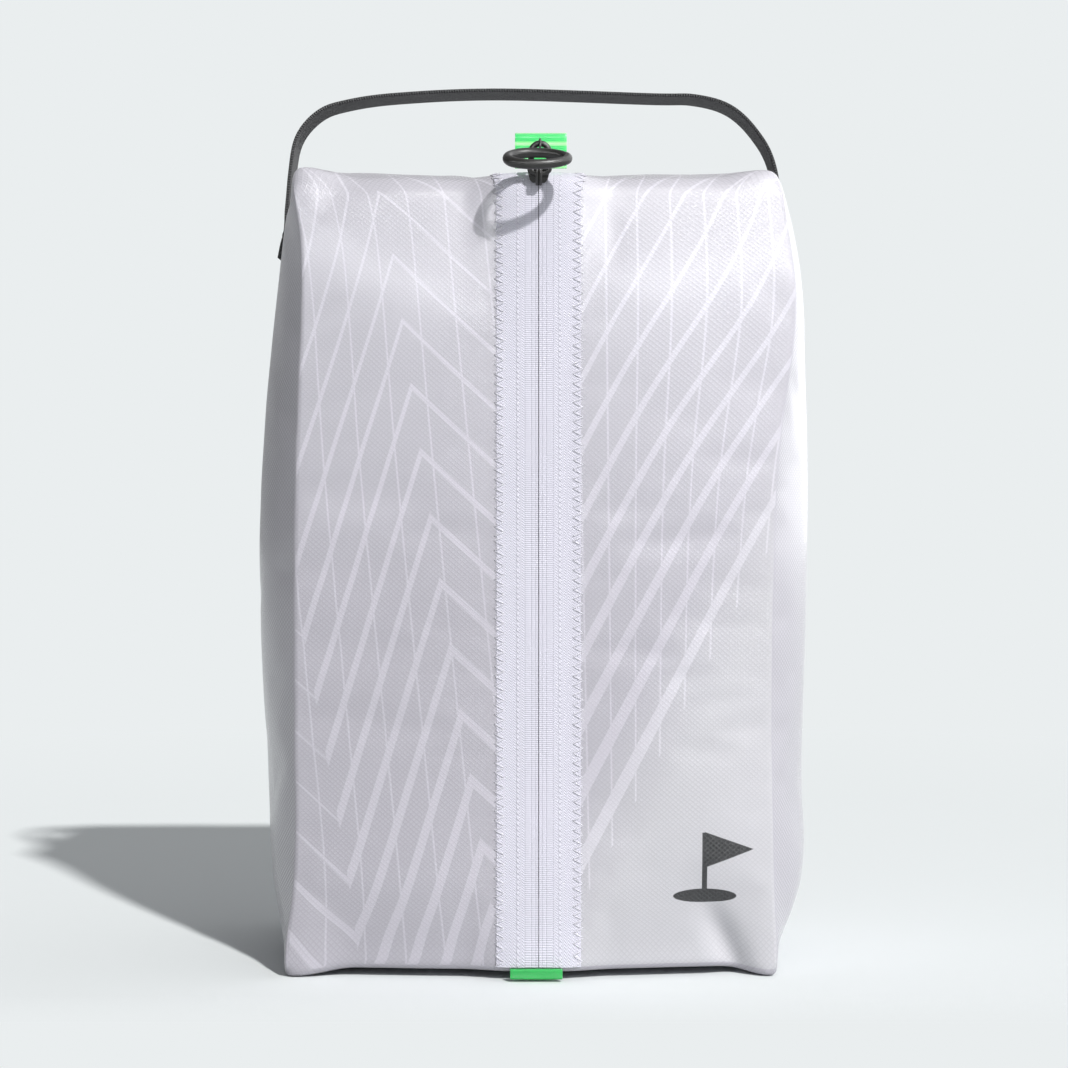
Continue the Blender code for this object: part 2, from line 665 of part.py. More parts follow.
def tab_outlines(height, half_depth):
    """A film folded over on itself: flat together at the foot, and an open round loop at the fold."""
    turns = [math.radians(angle) for angle in (0, 30, 60, 90, 120, 150, 180)]
    top = height - half_depth
    foot = TAB_FILM + 0.00015
    outer = [(-foot, -TAB_FILM), (foot, -TAB_FILM), (half_depth, 0.45 * height)]
    outer += [(half_depth * math.cos(a), top + half_depth * math.sin(a)) for a in turns]
    outer.append((-half_depth, 0.45 * height))
    bore = half_depth - TAB_FILM
    inner = [(0, 0.12 * height), (bore, 0.48 * height)]
    inner += [(bore * math.cos(a), top + bore * math.sin(a)) for a in turns]
    inner.append((-bore, 0.48 * height))
    return [outer, inner]


def make_tab(name, pivot, height, half_depth, down, parts, looks):
    place = side_view(pivot)
    if down:
        place = place @ Matrix.Rotation(math.pi, 4, "Z")
    outlines = tab_outlines(height, half_depth)
    return outline_solid(name, outlines, 2 * TAB_HALF_WIDTH, place, parts, looks["green"])


def make_badge(parts, looks):
    """A printed golf pictogram: a flagstick with its pennant, standing on the hole."""
    stick = 0.0011
    hole_half, hole_rise = 0.0135, 0.0032
    foot = math.acos(stick / hole_half)
    turns = steps(math.pi - foot, 2 * math.pi + foot, 22)
    hole = [(hole_half * math.cos(a), hole_rise + hole_rise * math.sin(a)) for a in turns]
    pennant = [(stick, BADGE_HEIGHT * 0.52), (0.021, BADGE_HEIGHT * 0.76), (stick, BADGE_HEIGHT)]
    mark = hole + pennant + [(-stick, BADGE_HEIGHT)]
    slope = math.atan2(front_y(BADGE_CENTRE_X + 0.01) - front_y(BADGE_CENTRE_X - 0.01), 0.02)
    stand_off = 0.0009
    place = Matrix.Translation((BADGE_CENTRE_X, front_y(BADGE_CENTRE_X) - stand_off, BADGE_BOTTOM_Z))
    place = place @ Matrix.Rotation(slope, 4, "Z") @ Matrix.Rotation(math.pi / 2, 4, "X")
    return outline_solid("front_badge", [mark], BADGE_THICK, place, parts, looks["print"])


# Assembly

def build_shell(parts, helpers, looks):
    make_side_panels(parts, looks)
    make_back_panel(parts, looks)
    make_top_panel(parts, helpers, looks)
    make_base_panel(parts, looks)
    make_corner_bindings(parts, looks)
    make_piping("top_seam_piping", CAP_BOTTOM_Z - 0.006, parts, looks)
    make_piping("base_seam_piping", BASE_TOP_Z + 0.004, parts, looks)


def build_flap(word, side, parts, looks):
    """A front panel with its tape, teeth and seam, on the line of its side seam."""
    pivot = joint_empty(word + "_flap_joint", (side * FRONT_SEAM_X, FRONT_SEAM_Y, 0), parts)
    panel = make_front_panel("front_" + word + "_panel", side, parts, looks)
    tape = make_tape(word + "_zip_tape", side, parts, looks)
    coil = make_coil(word + "_zip_coil", side, parts, looks)
    seam = make_zigzag(word + "_zip_stitch", side, parts, looks)
    hang_on(pivot, panel, tape, coil, seam)
    return pivot


def build_zip(parts, helpers, looks):
    make_top_tape_end(parts, helpers, looks)
    make_bottom_tape_end(parts, helpers, looks)
    make_zip_stops(parts, looks)
    slider = make_slider(parts, helpers, looks)
    link_joint = joint_empty("link_joint", LINK_PIVOT, parts)
    ring_joint = joint_empty("ring_joint", RING_PIVOT, parts)
    hang_on(link_joint, make_link(parts, looks))
    hang_on(ring_joint, make_pull_ring(parts, helpers, looks))
    hang_on(link_joint, ring_joint)
    hang_on(slider, link_joint)


def build_handle(parts, helpers, looks):
    pivot = joint_empty("handle_joint", (0, 0, HANDLE_PIVOT_Z), parts)
    hang_on(pivot, make_handle(parts, helpers, looks))
    for word, side in (("left", -1), ("right", 1)):
        make_handle_end(word + "_handle_end", side, parts, looks)
        make_handle_stitch(word + "_handle_stitch", side, parts, looks)


def build_tabs(parts, looks):
    top_joint = joint_empty("top_tab_joint", TOP_TAB_PIVOT, parts)
    top = make_tab("top_pull_tab", TOP_TAB_PIVOT, TOP_TAB_HEIGHT, TOP_TAB_HALF_DEPTH, False, parts, looks)
    hang_on(top_joint, top)
    low_joint = joint_empty("bottom_tab_joint", BOTTOM_TAB_PIVOT, parts)
    height, half_depth = BOTTOM_TAB_HEIGHT, BOTTOM_TAB_HALF_DEPTH
    low = make_tab("bottom_pull_tab", BOTTOM_TAB_PIVOT, height, half_depth, True, parts, looks)
    hang_on(low_joint, low)


def main():
    clear_scene()
    parts = new_collection("golf_shoe_bag")
    helpers = new_collection("cutters")
    looks = make_materials()
    build_shell(parts, helpers, looks)
    build_flap("left", -1, parts, looks)
    right = build_flap("right", 1, parts, looks)
    hang_on(right, make_badge(parts, looks))
    build_zip(parts, helpers, looks)
    build_handle(parts, helpers, looks)
    build_tabs(parts, looks)


main()
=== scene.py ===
"""Looks of the golf shoe bag: a soft ripstop shell with a printed lattice, a woven zip and a webbing handle.

The shell is one lattice of points that follows the CAD panels, softened with folds and settled as cloth.
It is then cut where the zip opens, and into upper and lower front pieces.
"""

import json
from math import atan2, copysign, cos, dist, pi, radians, sin

import bmesh
import bpy
import numpy as np
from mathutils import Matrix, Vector, noise


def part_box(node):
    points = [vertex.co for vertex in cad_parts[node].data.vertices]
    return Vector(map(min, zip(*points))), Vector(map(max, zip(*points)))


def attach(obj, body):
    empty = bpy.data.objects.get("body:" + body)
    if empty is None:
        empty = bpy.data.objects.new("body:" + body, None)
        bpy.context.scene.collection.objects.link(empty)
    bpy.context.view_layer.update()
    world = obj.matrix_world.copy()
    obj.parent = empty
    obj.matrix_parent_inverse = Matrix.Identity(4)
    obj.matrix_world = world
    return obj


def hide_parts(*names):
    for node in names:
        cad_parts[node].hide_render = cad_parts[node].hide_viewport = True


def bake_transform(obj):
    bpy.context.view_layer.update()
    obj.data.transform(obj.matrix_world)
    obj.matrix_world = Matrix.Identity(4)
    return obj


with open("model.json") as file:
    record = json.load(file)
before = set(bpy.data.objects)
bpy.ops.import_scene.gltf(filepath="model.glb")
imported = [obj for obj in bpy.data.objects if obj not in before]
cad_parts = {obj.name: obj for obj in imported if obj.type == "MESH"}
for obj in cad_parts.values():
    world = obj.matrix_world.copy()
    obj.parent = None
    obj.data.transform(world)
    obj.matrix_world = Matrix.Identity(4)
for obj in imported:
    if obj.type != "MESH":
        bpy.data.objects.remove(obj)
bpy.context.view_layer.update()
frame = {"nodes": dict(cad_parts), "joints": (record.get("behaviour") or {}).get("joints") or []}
JOINT = {joint["name"]: Vector(joint["pos_m"]) for joint in frame["joints"] if "pos_m" in joint}

# Places on the bag in metres, most of them read from the CAD
WALL = 0.0015
SEAM_GAP = 0.0004
FRONT_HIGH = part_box("front_right_panel")[1]
TOP_LOW, TOP_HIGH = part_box("top_panel")
BACK_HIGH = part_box("back_panel")[1]
TAPE_LOW, TAPE_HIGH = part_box("right_zip_tape")
ZIP_X = (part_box("left_zip_tape")[1].x + TAPE_LOW.x) / 2
SEAM_X = FRONT_HIGH.x + SEAM_GAP
SEAM_Y = FRONT_HIGH.y - WALL
FRONT_BOW = 0.007
BACK_SEAM_X = BACK_HIGH.x + SEAM_GAP
BACK_SEAM_Y = 0.064
BACK_BOW = BACK_HIGH.y - BACK_SEAM_Y
SIDE_BULGE = 0.0228
WALL_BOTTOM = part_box("base_panel")[1].z
WALL_TOP = TOP_LOW.z
EDGE_RISE = 0.008
TOP_DOME = TOP_HIGH.z - WALL_TOP - EDGE_RISE
FLAP_TOP = TAPE_HIGH.z
FLAP_MIDDLE = 0.19
ZIP_MM = ZIP_X * 1000

# The shell's lattice
COLUMNS, DEEP, LEVELS = 60, 36, 96
HALF_COLUMNS = COLUMNS // 2
MOUTH_COLUMNS = range(HALF_COLUMNS - 2, HALF_COLUMNS + 2)
MOUTH_BOTTOM = 0.031
CAP_LENGTH = 0.0766
CAP_STEP = CAP_LENGTH / (DEEP / 2)


# Small helpers

SHARP = radians(50)
WIRE_WRAP = 0.006


def smooth(start, end, value):
    share = np.clip((value - start) / (end - start), 0, 1)
    return share * share * (3 - 2 * share)


def hump(centre, spread, value):
    return np.exp(-(((value - centre) / spread) ** 2))
def around(count):
    """The angles of a whole turn in equal steps."""
    return [2 * pi * index / count for index in range(count)]


def middle_of(grid, row, column):
    """The value of a grid of places at a row and column that need not be whole."""
    r, c = int(row), int(column)
    a, b = column - c, row - r
    near = grid[r, c] * (1 - a) + grid[r, c + 1] * a
    far = grid[r + 1, c] * (1 - a) + grid[r + 1, c + 1] * a
    return near * (1 - b) + far * b


def vectors_of(items, name):
    """One vector of each item of a mesh's list, as rows of three."""
    values = np.zeros(len(items) * 3, np.float32)
    items.foreach_get(name, values)
    return values.reshape(-1, 3)


def link_object(name, data, material=None):
    obj = bpy.data.objects.new(name, data)
    bpy.context.scene.collection.objects.link(obj)
    if material:
        data.materials.append(material)
    return obj


def finish_piece(piece, slot, *nodes, body=None):
    """Sets the body that a piece rides on, and hides the CAD nodes that it replaces. slot is not used."""
    if body:
        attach(piece, body)
    if nodes:
        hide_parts(*nodes)


class Form:
    """Points, faces and flat pattern places gathered for one mesh."""

    def __init__(self):
        self.points, self.faces, self.flat = [], [], []

    def rings(self, rows, flats, turned=False, capped=True):
        """Faces between rings of points, with a face across each end if capped."""
        base, width = len(self.points), len(rows[0])
        for row, flat in zip(rows, flats):
            self.points += [tuple(point) for point in row]
            self.flat += [tuple(place) for place in flat]
        last = len(self.points) - width
        faces = []
        for start in range(base, last, width):
            for column in range(width):
                a, b = start + column, start + (column + 1) % width
                faces.append((a, b, b + width, a + width))
        if capped:
            faces += [tuple(range(base, base + width))[::-1], tuple(range(last, last + width))]
        self.faces += [face[::-1] if turned else face for face in faces]
        return self

    def tube(self, path, radius, sides=8, closed=False):
        """A round wire along the path. radius is one number, or one for each point."""
        path = [Vector(point) for point in path]
        count = len(path)
        radii = [radius] * count if isinstance(radius, float) else radius
        rows, flats = [], []
        aside = None
        travelled = 0
        for index, point in enumerate(path):
            before = path[index - 1] if index or closed else point
            after = path[(index + 1) % count] if index < count - 1 or closed else point
            along = (after - before).normalized()
            if aside is None:
                aside = along.orthogonal().normalized()
            aside = (aside - along * aside.dot(along)).normalized()
            over = along.cross(aside)
            travelled += (point - path[index - 1]).length if index else 0
            radius = radii[index]
            rows.append([point + radius * (aside * cos(t) + over * sin(t)) for t in around(sides)])
            flats.append([(side / sides * WIRE_WRAP, travelled) for side in range(sides)])
        if closed:
            rows, flats = [*rows, rows[0]], [*flats, flats[0]]
        return self.rings(rows, flats, capped=not closed)

    def build(self, name, material, flat_shaded=False):
        mesh = bpy.data.meshes.new(name)
        mesh.from_pydata(self.points, [], self.faces)
        layer = mesh.uv_layers.new(name="flat")
        corners = np.zeros(len(mesh.loops), np.int32)
        mesh.loops.foreach_get("vertex_index", corners)
        layer.data.foreach_set("uv", np.array(self.flat, np.float32)[corners].ravel())
        mesh.shade_flat() if flat_shaded else mesh.shade_smooth()
        return link_object(name, mesh, material)


# Material patterns

class Value:
    """A number inside a node tree, so that a pattern can be written as sums and products."""

    def __init__(self, tree, socket):
        self.tree, self.socket = tree, socket

    def math(self, operation, *others):
        node = self.tree.nodes.new("ShaderNodeMath")
        node.operation = operation
        for slot, value in enumerate((self, *others)):
            if isinstance(value, Value):
                self.tree.links.new(value.socket, node.inputs[slot])
            else:
                node.inputs[slot].default_value = value
        return Value(self.tree, node.outputs[0])

    def __add__(self, other):
        return self.math("ADD", other)

    def __sub__(self, other):
        return self.math("SUBTRACT", other)

    def __mul__(self, other):
        return self.math("MULTIPLY", other)

    def __neg__(self):
        return self.math("MULTIPLY", -1.0)

    def size(self):
        return self.math("ABSOLUTE")

    def above(self, limit, soft=0.25):
        """0 below the limit and 1 above it, over a short ramp."""
        ramp = (self - limit).math("DIVIDE", soft)
        ramp = (ramp + 0.5).math("MAXIMUM", 0.0)
        return ramp.math("MINIMUM", 1.0)

    def below(self, limit, soft=0.25):
        return (-(self - limit)).above(0.0, soft)

    def lines(self, pitch, width, soft=0.25):
        """1 on lines of this width at each whole multiple of the pitch."""
        return self.math("PINGPONG", pitch / 2).below(width * 0.5, soft)

    def wave(self, pitch):
        return (self * (2 * pi / pitch)).math("SINE")


def new_material(name):
    made = bpy.data.materials.new(name)
    made.use_nodes = True
    return made, made.node_tree


def add_node(tree, kind, *sources):
    """A new shader node, with its first inputs linked to these sockets."""
    node = tree.nodes.new("ShaderNode" + kind)
    for source, slot in zip(sources, node.inputs):
        tree.links.new(source, slot)
    return node


def set_inputs(tree, node, inputs):
    """Sets a node's inputs by name, each to a number, a Value or a socket."""
    for name, value in inputs.items():
        if isinstance(value, float):
            node.inputs[name].default_value = value
        else:
            tree.links.new(getattr(value, "socket", value), node.inputs[name])


def parts(tree, vector):
    """The three numbers of a vector socket."""
    return [Value(tree, socket) for socket in add_node(tree, "SeparateXYZ", vector).outputs]


def flat_place(tree):
    """The place on the flat cloth, in millimetres: across and up."""
    source = add_node(tree, "UVMap")
    source.uv_map = "flat"
    across, up, _ = parts(tree, source.outputs[0])
    return across * 1000, up * 1000


def mottle(tree, scale, detail=3.0):
    """Soft noise about 0, in object space."""
    clouds = add_node(tree, "TexNoise", add_node(tree, "TexCoord").outputs["Object"])
    set_inputs(tree, clouds, {"Scale": scale, "Detail": detail})
    return Value(tree, clouds.outputs[0]) - 0.5


def blend(share, first, second):
    """A colour between two, each either a tuple or a socket."""
    tree = share.tree
    mix = add_node(tree, "Mix")
    mix.data_type = "RGBA"
    tree.links.new(share.socket, mix.inputs[0])
    for slot, colour in ((6, first), (7, second)):
        if isinstance(colour, tuple):
            mix.inputs[slot].default_value = (*colour, 1)
        else:
            tree.links.new(colour, mix.inputs[slot])
    return mix.outputs[2]


def shade(colour, amount):
    """The colour made lighter or darker by amount, a share about 1."""
    scale = add_node(amount.tree, "VectorMath", colour)
    scale.operation = "SCALE"
    set_inputs(amount.tree, scale, {"Scale": amount})
    return scale.outputs[0]


def finish_look(made, colour, height, depth, inputs):
    """Sets the shader's colour and inputs, and raises its surface by a pattern, up to depth metres."""
    tree = made.node_tree
    bump = add_node(tree, "Bump")
    set_inputs(tree, bump, {"Distance": depth, "Strength": 1.0, "Height": height})
    inputs = {"Base Color": colour, "Normal": bump.outputs[0], **inputs}
    set_inputs(tree, tree.nodes["Principled BSDF"], inputs)
    return made


def left_lattice(x, z):
    """Chevrons left of the zip: steep bands that turn down at a line of peaks and up again lower left."""
    peaks = x + z * 0.1554 + 13.2
    valleys = x + z * 0.19 + 71.3
    width = (-(z - 255.0) * 0.0120 + 2.1).math("MAXIMUM", 1.3)
    steep = (x - z * 0.31 + 131.5).lines(13.07, width * 0.86)
    falling = (z + x * 0.935 - 204.9).lines(24.03, width * 1.2)
    thinner = (-(z - 62.0) * 0.075 + 1.1).math("MAXIMUM", 0.9).math("MINIMUM", 3.6)
    rising = (z + x * 0.87 - 38.4).lines(21.8, thinner * 1.15)
    right_of_peaks = peaks.above(0.0, 0.1)
    left_of_valleys = valleys.below(0.0, 0.1)
    between = (right_of_peaks + left_of_valleys).below(0.5, 0.1)
    bands = steep * between + falling * right_of_peaks + rising * left_of_valleys
    thin = (x + z * 0.1 + 5.0).lines(16.0, 0.8)
    return bands.math("MAXIMUM", thin)


def print_edge(x, z):
    """Above 0 over the slope where the right bands stop, in millimetres."""
    return z - (x - 21.0) * 1.887 - 46.0


def right_lattice(x, z):
    """Leaning bands right of the zip that stop on a slope, over thin upright lines."""
    width = (-(z - 257.0) * 0.0165 + 2.4).math("MINIMUM", 5.2).math("MAXIMUM", 1.4)
    bands = (x - z * 0.53 + 6.7).lines(15.6, width * 1.13)
    above_low = z - 138.0
    thin = ((x + above_low * 0.0107 - 32.6) * (above_low * -0.00092 + 1.0)).lines(10.8, 0.75)
    edge = print_edge(x, z)
    return (bands * edge.above(0.0, 0.4)).math("MAXIMUM", thin * edge.above(-12.0, 0.4))


def golf_flag(x, z):
    """A printed flagstick with its pennant, standing on the hole."""
    low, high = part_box("front_badge")
    foot, tip = low.z * 1000, high.z * 1000
    stick_half, pennant_reach, hole_half = 1.1, 21.0, (13.5, 3.2)
    reach = x - (low.x * 1000 + hole_half[0])
    stick = reach.size().below(stick_half, 0.2) * (z - (foot + tip) / 2).size().below((tip - foot) / 2, 0.2)
    pennant = (z - (tip - 7.5)).size() + (reach - pennant_reach) * 0.37
    pennant = pennant.below(0.0, 0.2) * reach.above(0.0, 0.1) * reach.below(pennant_reach, 0.2)
    up = z - (foot + hole_half[1])
    hole = (reach * reach) * (1 / hole_half[0]**2) + (up * up) * (1 / hole_half[1]**2)
    return stick.math("MAXIMUM", pennant).math("MAXIMUM", hole.below(1.0, 0.05))


def ripstop(x, z):
    """The woven diamond grid: fine raised threads crossing at a narrow angle."""
    rising = (x * 0.657 + z * 0.754).lines(1.60, 0.36, 0.3)
    falling = (x * 0.657 - z * 0.754).lines(1.60, 0.36, 0.3)
    return rising.math("MAXIMUM", falling)


# The shell's colours: upper and lower ground, thread, plain, ink and inside. The upper ground is lighter than
# the lower as painted light, with the top of the bag painted as more brightly lit.
SHELL_COLOURS = (
    (0.475, 0.462, 0.508), (0.385, 0.370, 0.414), (0.56, 0.55, 0.59), (0.470, 0.463, 0.492),
    (0.016, 0.016, 0.018), (0.50, 0.50, 0.53),
)


def shell_fabric(name, printed):
    """Coated white ripstop. The printed kind has the lattice and the flag."""
    made, tree = new_material(name)
    x, z = flat_place(tree)
    grid = ripstop(x, z)
    weave = x.wave(0.45) * z.wave(0.45)
    cloudy, fine = mottle(tree, 9.0, 4.0), mottle(tree, 60.0, 4.0)
    upper, lower, thread, plain, ink, inside = SHELL_COLOURS
    # Painted light: the ground is lighter towards the top and darker towards the bottom, as the light falls
    # on the bag.
    colour = blend(z.below(235.0, 150.0), upper, lower)
    colour = blend(grid * 0.07, colour, thread)
    if printed:
        unprinted = print_edge(x, z).below(0.0, 70.0) * x.above(12.0, 12.0)
        colour = blend(unprinted, colour, plain)
        bands = left_lattice(x, z) * x.below(ZIP_MM) + right_lattice(x, z) * x.above(ZIP_MM)
        colour = shade(colour, bands * 0.23 + 1.0)
        colour = blend(golf_flag(x, z), colour, ink)
    # cloudy and fine are random tone. x * 0.0006 is painted light: the cloth is lighter towards the right,
    # where the key light comes from.
    colour = shade(colour, cloudy * 0.16 + fine * 0.06 + x * 0.0006 + 1.0)
    backfacing = Value(tree, add_node(tree, "NewGeometry").outputs["Backfacing"])
    colour = blend(backfacing, colour, inside)
    return finish_look(made, colour, grid * 0.23 + weave * 0.12 + fine * 0.4, 0.00017, {
        "Roughness": cloudy * 0.16 - grid * 0.20 + 0.38,
        "Specular IOR Level": 0.55, "Sheen Weight": 0.12, "Sheen Roughness": 0.4,
        "Coat Weight": grid * 0.55 + 0.28, "Coat Roughness": 0.19,
    })


def tape_fabric():
    """Twill zip tape: fine chevrons, ribs beside the teeth and two rows of chain stitch along it."""
    made, tree = new_material("zip_tape_twill")
    x, z = flat_place(tree)
    off = (x - ZIP_MM).size()
    by_teeth = off.below(6.0, 0.5)
    chevron = (z + off.math("PINGPONG", 0.9)).wave(1.15) * (-(by_teeth - 1.0)) + z.wave(0.85) * by_teeth
    ribs = (off - 3.2).size().below(0.22, 0.3) + (off - 6.0).size().below(0.2, 0.3)
    outer_row = (off - 9.0).size().below(0.42, 0.2)
    inner_row = (off - 1.4).size().below(0.16, 0.2)
    stitch = z.wave(2.3) * 0.5 + 0.5
    sewn = outer_row * stitch
    colour = blend(chevron * 0.5 + 0.5, (0.555, 0.543, 0.625), (0.645, 0.632, 0.715))
    colour = blend(sewn * 0.6, colour, (0.72, 0.71, 0.78))
    # Painted shade: the tape is darker between the stitches of its outer row, and in the sunk grooves of its
    # ribs and inner row.
    colour = blend(outer_row * (-(stitch - 1.0)) * 0.30, colour, (0.38, 0.37, 0.44))
    colour = blend((ribs + inner_row) * 0.22, colour, (0.40, 0.39, 0.46))
    colour = shade(colour, mottle(tree, 12.0) * 0.08 + 1.0)
    height = chevron * 0.30 - ribs * 0.5 + sewn - inner_row * 0.5
    return finish_look(made, colour, height, 0.00024, {"Roughness": 0.7, "Sheen Weight": 0.25})


def thread_look(name, colour):
    """Twisted sewing thread."""
    made, tree = new_material(name)
    around_it, along = flat_place(tree)
    twist = (along + around_it * 0.35).wave(0.9)
    darker = tuple(share * 0.80 for share in colour)
    look = blend(twist * 0.5 + 0.5, darker, colour)
    return finish_look(made, look, twist, 0.0001, {"Roughness": 0.5, "Sheen Weight": 0.3})


def coil_look():
    made, tree = new_material("coil_nylon")
    grain = mottle(tree, 400.0)
    colour = blend(grain + 0.5, (0.50, 0.49, 0.56), (0.62, 0.61, 0.69))
    return finish_look(made, colour, grain, 0.0001, {"Roughness": 0.35})


def webbing_look():
    """Charcoal webbing woven in narrow herringbone columns, with a smoother edge."""
    made, tree = new_material("handle_webbing")
    across, along = flat_place(tree)
    columns = across.math("PINGPONG", 1.6)
    twill = (along + columns * 1.3).wave(1.15)
    fuzz = mottle(tree, 500.0)
    colour = blend(twill * 0.5 + 0.5, (0.008, 0.008, 0.009), (0.050, 0.050, 0.052))
    colour = shade(colour, fuzz * 0.7 + 1.0)
    height = twill * 0.8 + columns.wave(3.2) * 0.3 + fuzz * 0.5
    inputs = {"Roughness": 0.62, "Sheen Weight": 0.08, "Sheen Roughness": 0.5}
    return finish_look(made, colour, height, 0.00035, inputs)


def black_plastic():
    """Satin black moulding with a fine spark-eroded grain."""
    made, tree = new_material("satin_black")
    patch = mottle(tree, 70.0)
    colour = blend(patch + 0.5, (0.010, 0.010, 0.009), (0.021, 0.020, 0.019))
    grain = mottle(tree, 900.0, 2.0)
    return finish_look(made, colour, grain, 0.00006, {"Roughness": patch * 0.25 + 0.36})


def green_film(name, deep, bright, glow):
    """Fluorescent see-through film. The bright bands across it are painted highlights, and its glow is
    painted light.
    """
    made, tree = new_material(name)
    _, along = flat_place(tree)
    bands, fine = along.lines(5.2, 1.5, 0.8), along.wave(0.8)
    colour = blend(bands, deep, bright)
    colour = shade(colour, mottle(tree, 150.0) * 0.2 + fine * 0.03 + 1.0)
    return finish_look(made, colour, fine * 0.3 + bands, 0.00008, {
        "Emission Color": colour, "Emission Strength": glow, "Roughness": 0.18,
        "Transmission Weight": 0.30, "Alpha": 0.88, "Coat Weight": 0.6,
    })


def binding_look():
    """Soft woven seam tape."""
    made, tree = new_material("binding_weave")
    across, along = flat_place(tree)
    weave = across.wave(1.0) * along.wave(1.0)
    colour = blend(weave * 0.5 + 0.5, (0.40, 0.40, 0.44), (0.52, 0.52, 0.56))
    colour = shade(colour, mottle(tree, 40.0) * 0.2 + 1.0)
    return finish_look(made, colour, weave, 0.0002, {"Roughness": 0.85})


# The shell's shape

def front_y(x):
    return SEAM_Y - FRONT_BOW * (1 - (x / SEAM_X) ** 2)


def back_y(x):
    return BACK_SEAM_Y + BACK_BOW * (1 - (x / BACK_SEAM_X) ** 2)


def side_x(y, z):
    share = (y - SEAM_Y) / (BACK_SEAM_Y - SEAM_Y)
    height = np.clip((z - WALL_BOTTOM) / (WALL_TOP - WALL_BOTTOM), 0, 1)
    edge = 0.0035 + 0.0035 * height
    bulge = edge + (SIDE_BULGE - edge) * np.sqrt(np.sin(pi * height))
    return SEAM_X + (BACK_SEAM_X - SEAM_X) * share + bulge * 4 * share * (1 - share)


def column_x(index):
    """Columns run evenly from each seam to the zip line, which is a little off the middle."""
    share = index / HALF_COLUMNS
    return -SEAM_X + (ZIP_X + SEAM_X) * share if share < 1 else ZIP_X + (SEAM_X - ZIP_X) * (share - 1)


def depth_y(index):
    return SEAM_Y + (BACK_SEAM_Y - SEAM_Y) * index / DEEP


def level_z(index):
    return WALL_BOTTOM + (WALL_TOP - WALL_BOTTOM) * index / LEVELS
def level_at(z):
    """The level of the lattice at height z, which need not be whole."""
    return (z - WALL_BOTTOM) / (WALL_TOP - WALL_BOTTOM) * LEVELS


def plan_point(across, deep, z):
    """A point of the plan at height z. across and deep run from -1 to 1, and one of them is at its limit."""
    if abs(deep) >= abs(across):
        x = column_x((across + 1) * HALF_COLUMNS)
        if deep < 0:
            return x, front_y(x)
        x *= BACK_SEAM_X / SEAM_X
        return x, back_y(x)
    y = depth_y((deep + 1) / 2 * DEEP)
    return copysign(side_x(y, z), across), y


def end_point(column, row, upper):
    """A point of the top or the base: the plan drawn in over a rounded edge, then over a shallow dome."""
    u, v = column / HALF_COLUMNS - 1, row / (DEEP / 2) - 1
    reach = max(abs(u), abs(v))
    if reach == 0:
        return 0.0, 0.0, TOP_HIGH.z if upper else 0.0
    across, deep = u / reach, v / reach
    corner = float(smooth(0.78, 1.0, min(abs(across), abs(deep))))
    radius = EDGE_RISE if upper else WALL_BOTTOM
    tuck = radius * (1 - (0.60 if upper else 0.92) * corner)
    x, y = plan_point(across, deep, WALL_TOP if upper else WALL_BOTTOM)
    travelled = (1 - reach) * CAP_LENGTH
    arc = radius * pi / 2
    if travelled < arc:
        turn = travelled / radius
        inset, rise, share = tuck * (1 - cos(turn)), radius * sin(turn), 1
    else:
        share = reach / (1 - arc / CAP_LENGTH)
        inset, rise = tuck, radius + (TOP_DOME * (1 - share**2) if upper else 0)
    x *= (1 - inset / SEAM_X) * share
    y *= (1 - inset / -SEAM_Y) * share
    return x, y, WALL_TOP + rise if upper else WALL_BOTTOM - rise


def lattice_point(column, row, level):
    if level in (0, LEVELS):
        return end_point(column, row, level == LEVELS)
    x, y = plan_point(column / HALF_COLUMNS - 1, row / (DEEP / 2) - 1, level_z(level))
    return x, y, level_z(level)


def make_lattice():
    """The lattice's places in order, and the number of each."""
    keys = [
        (column, row, level)
        for level in range(LEVELS + 1)
        for row in range(DEEP + 1)
        for column in range(COLUMNS + 1)
        if column in (0, COLUMNS) or row in (0, DEEP) or level in (0, LEVELS)
    ]
    points = np.array([lattice_point(*key) for key in keys])
    return {key: index for index, key in enumerate(keys)}, points


def lumps(*places):
    return np.array([noise.noise(Vector(place)) for place in zip(*places)])


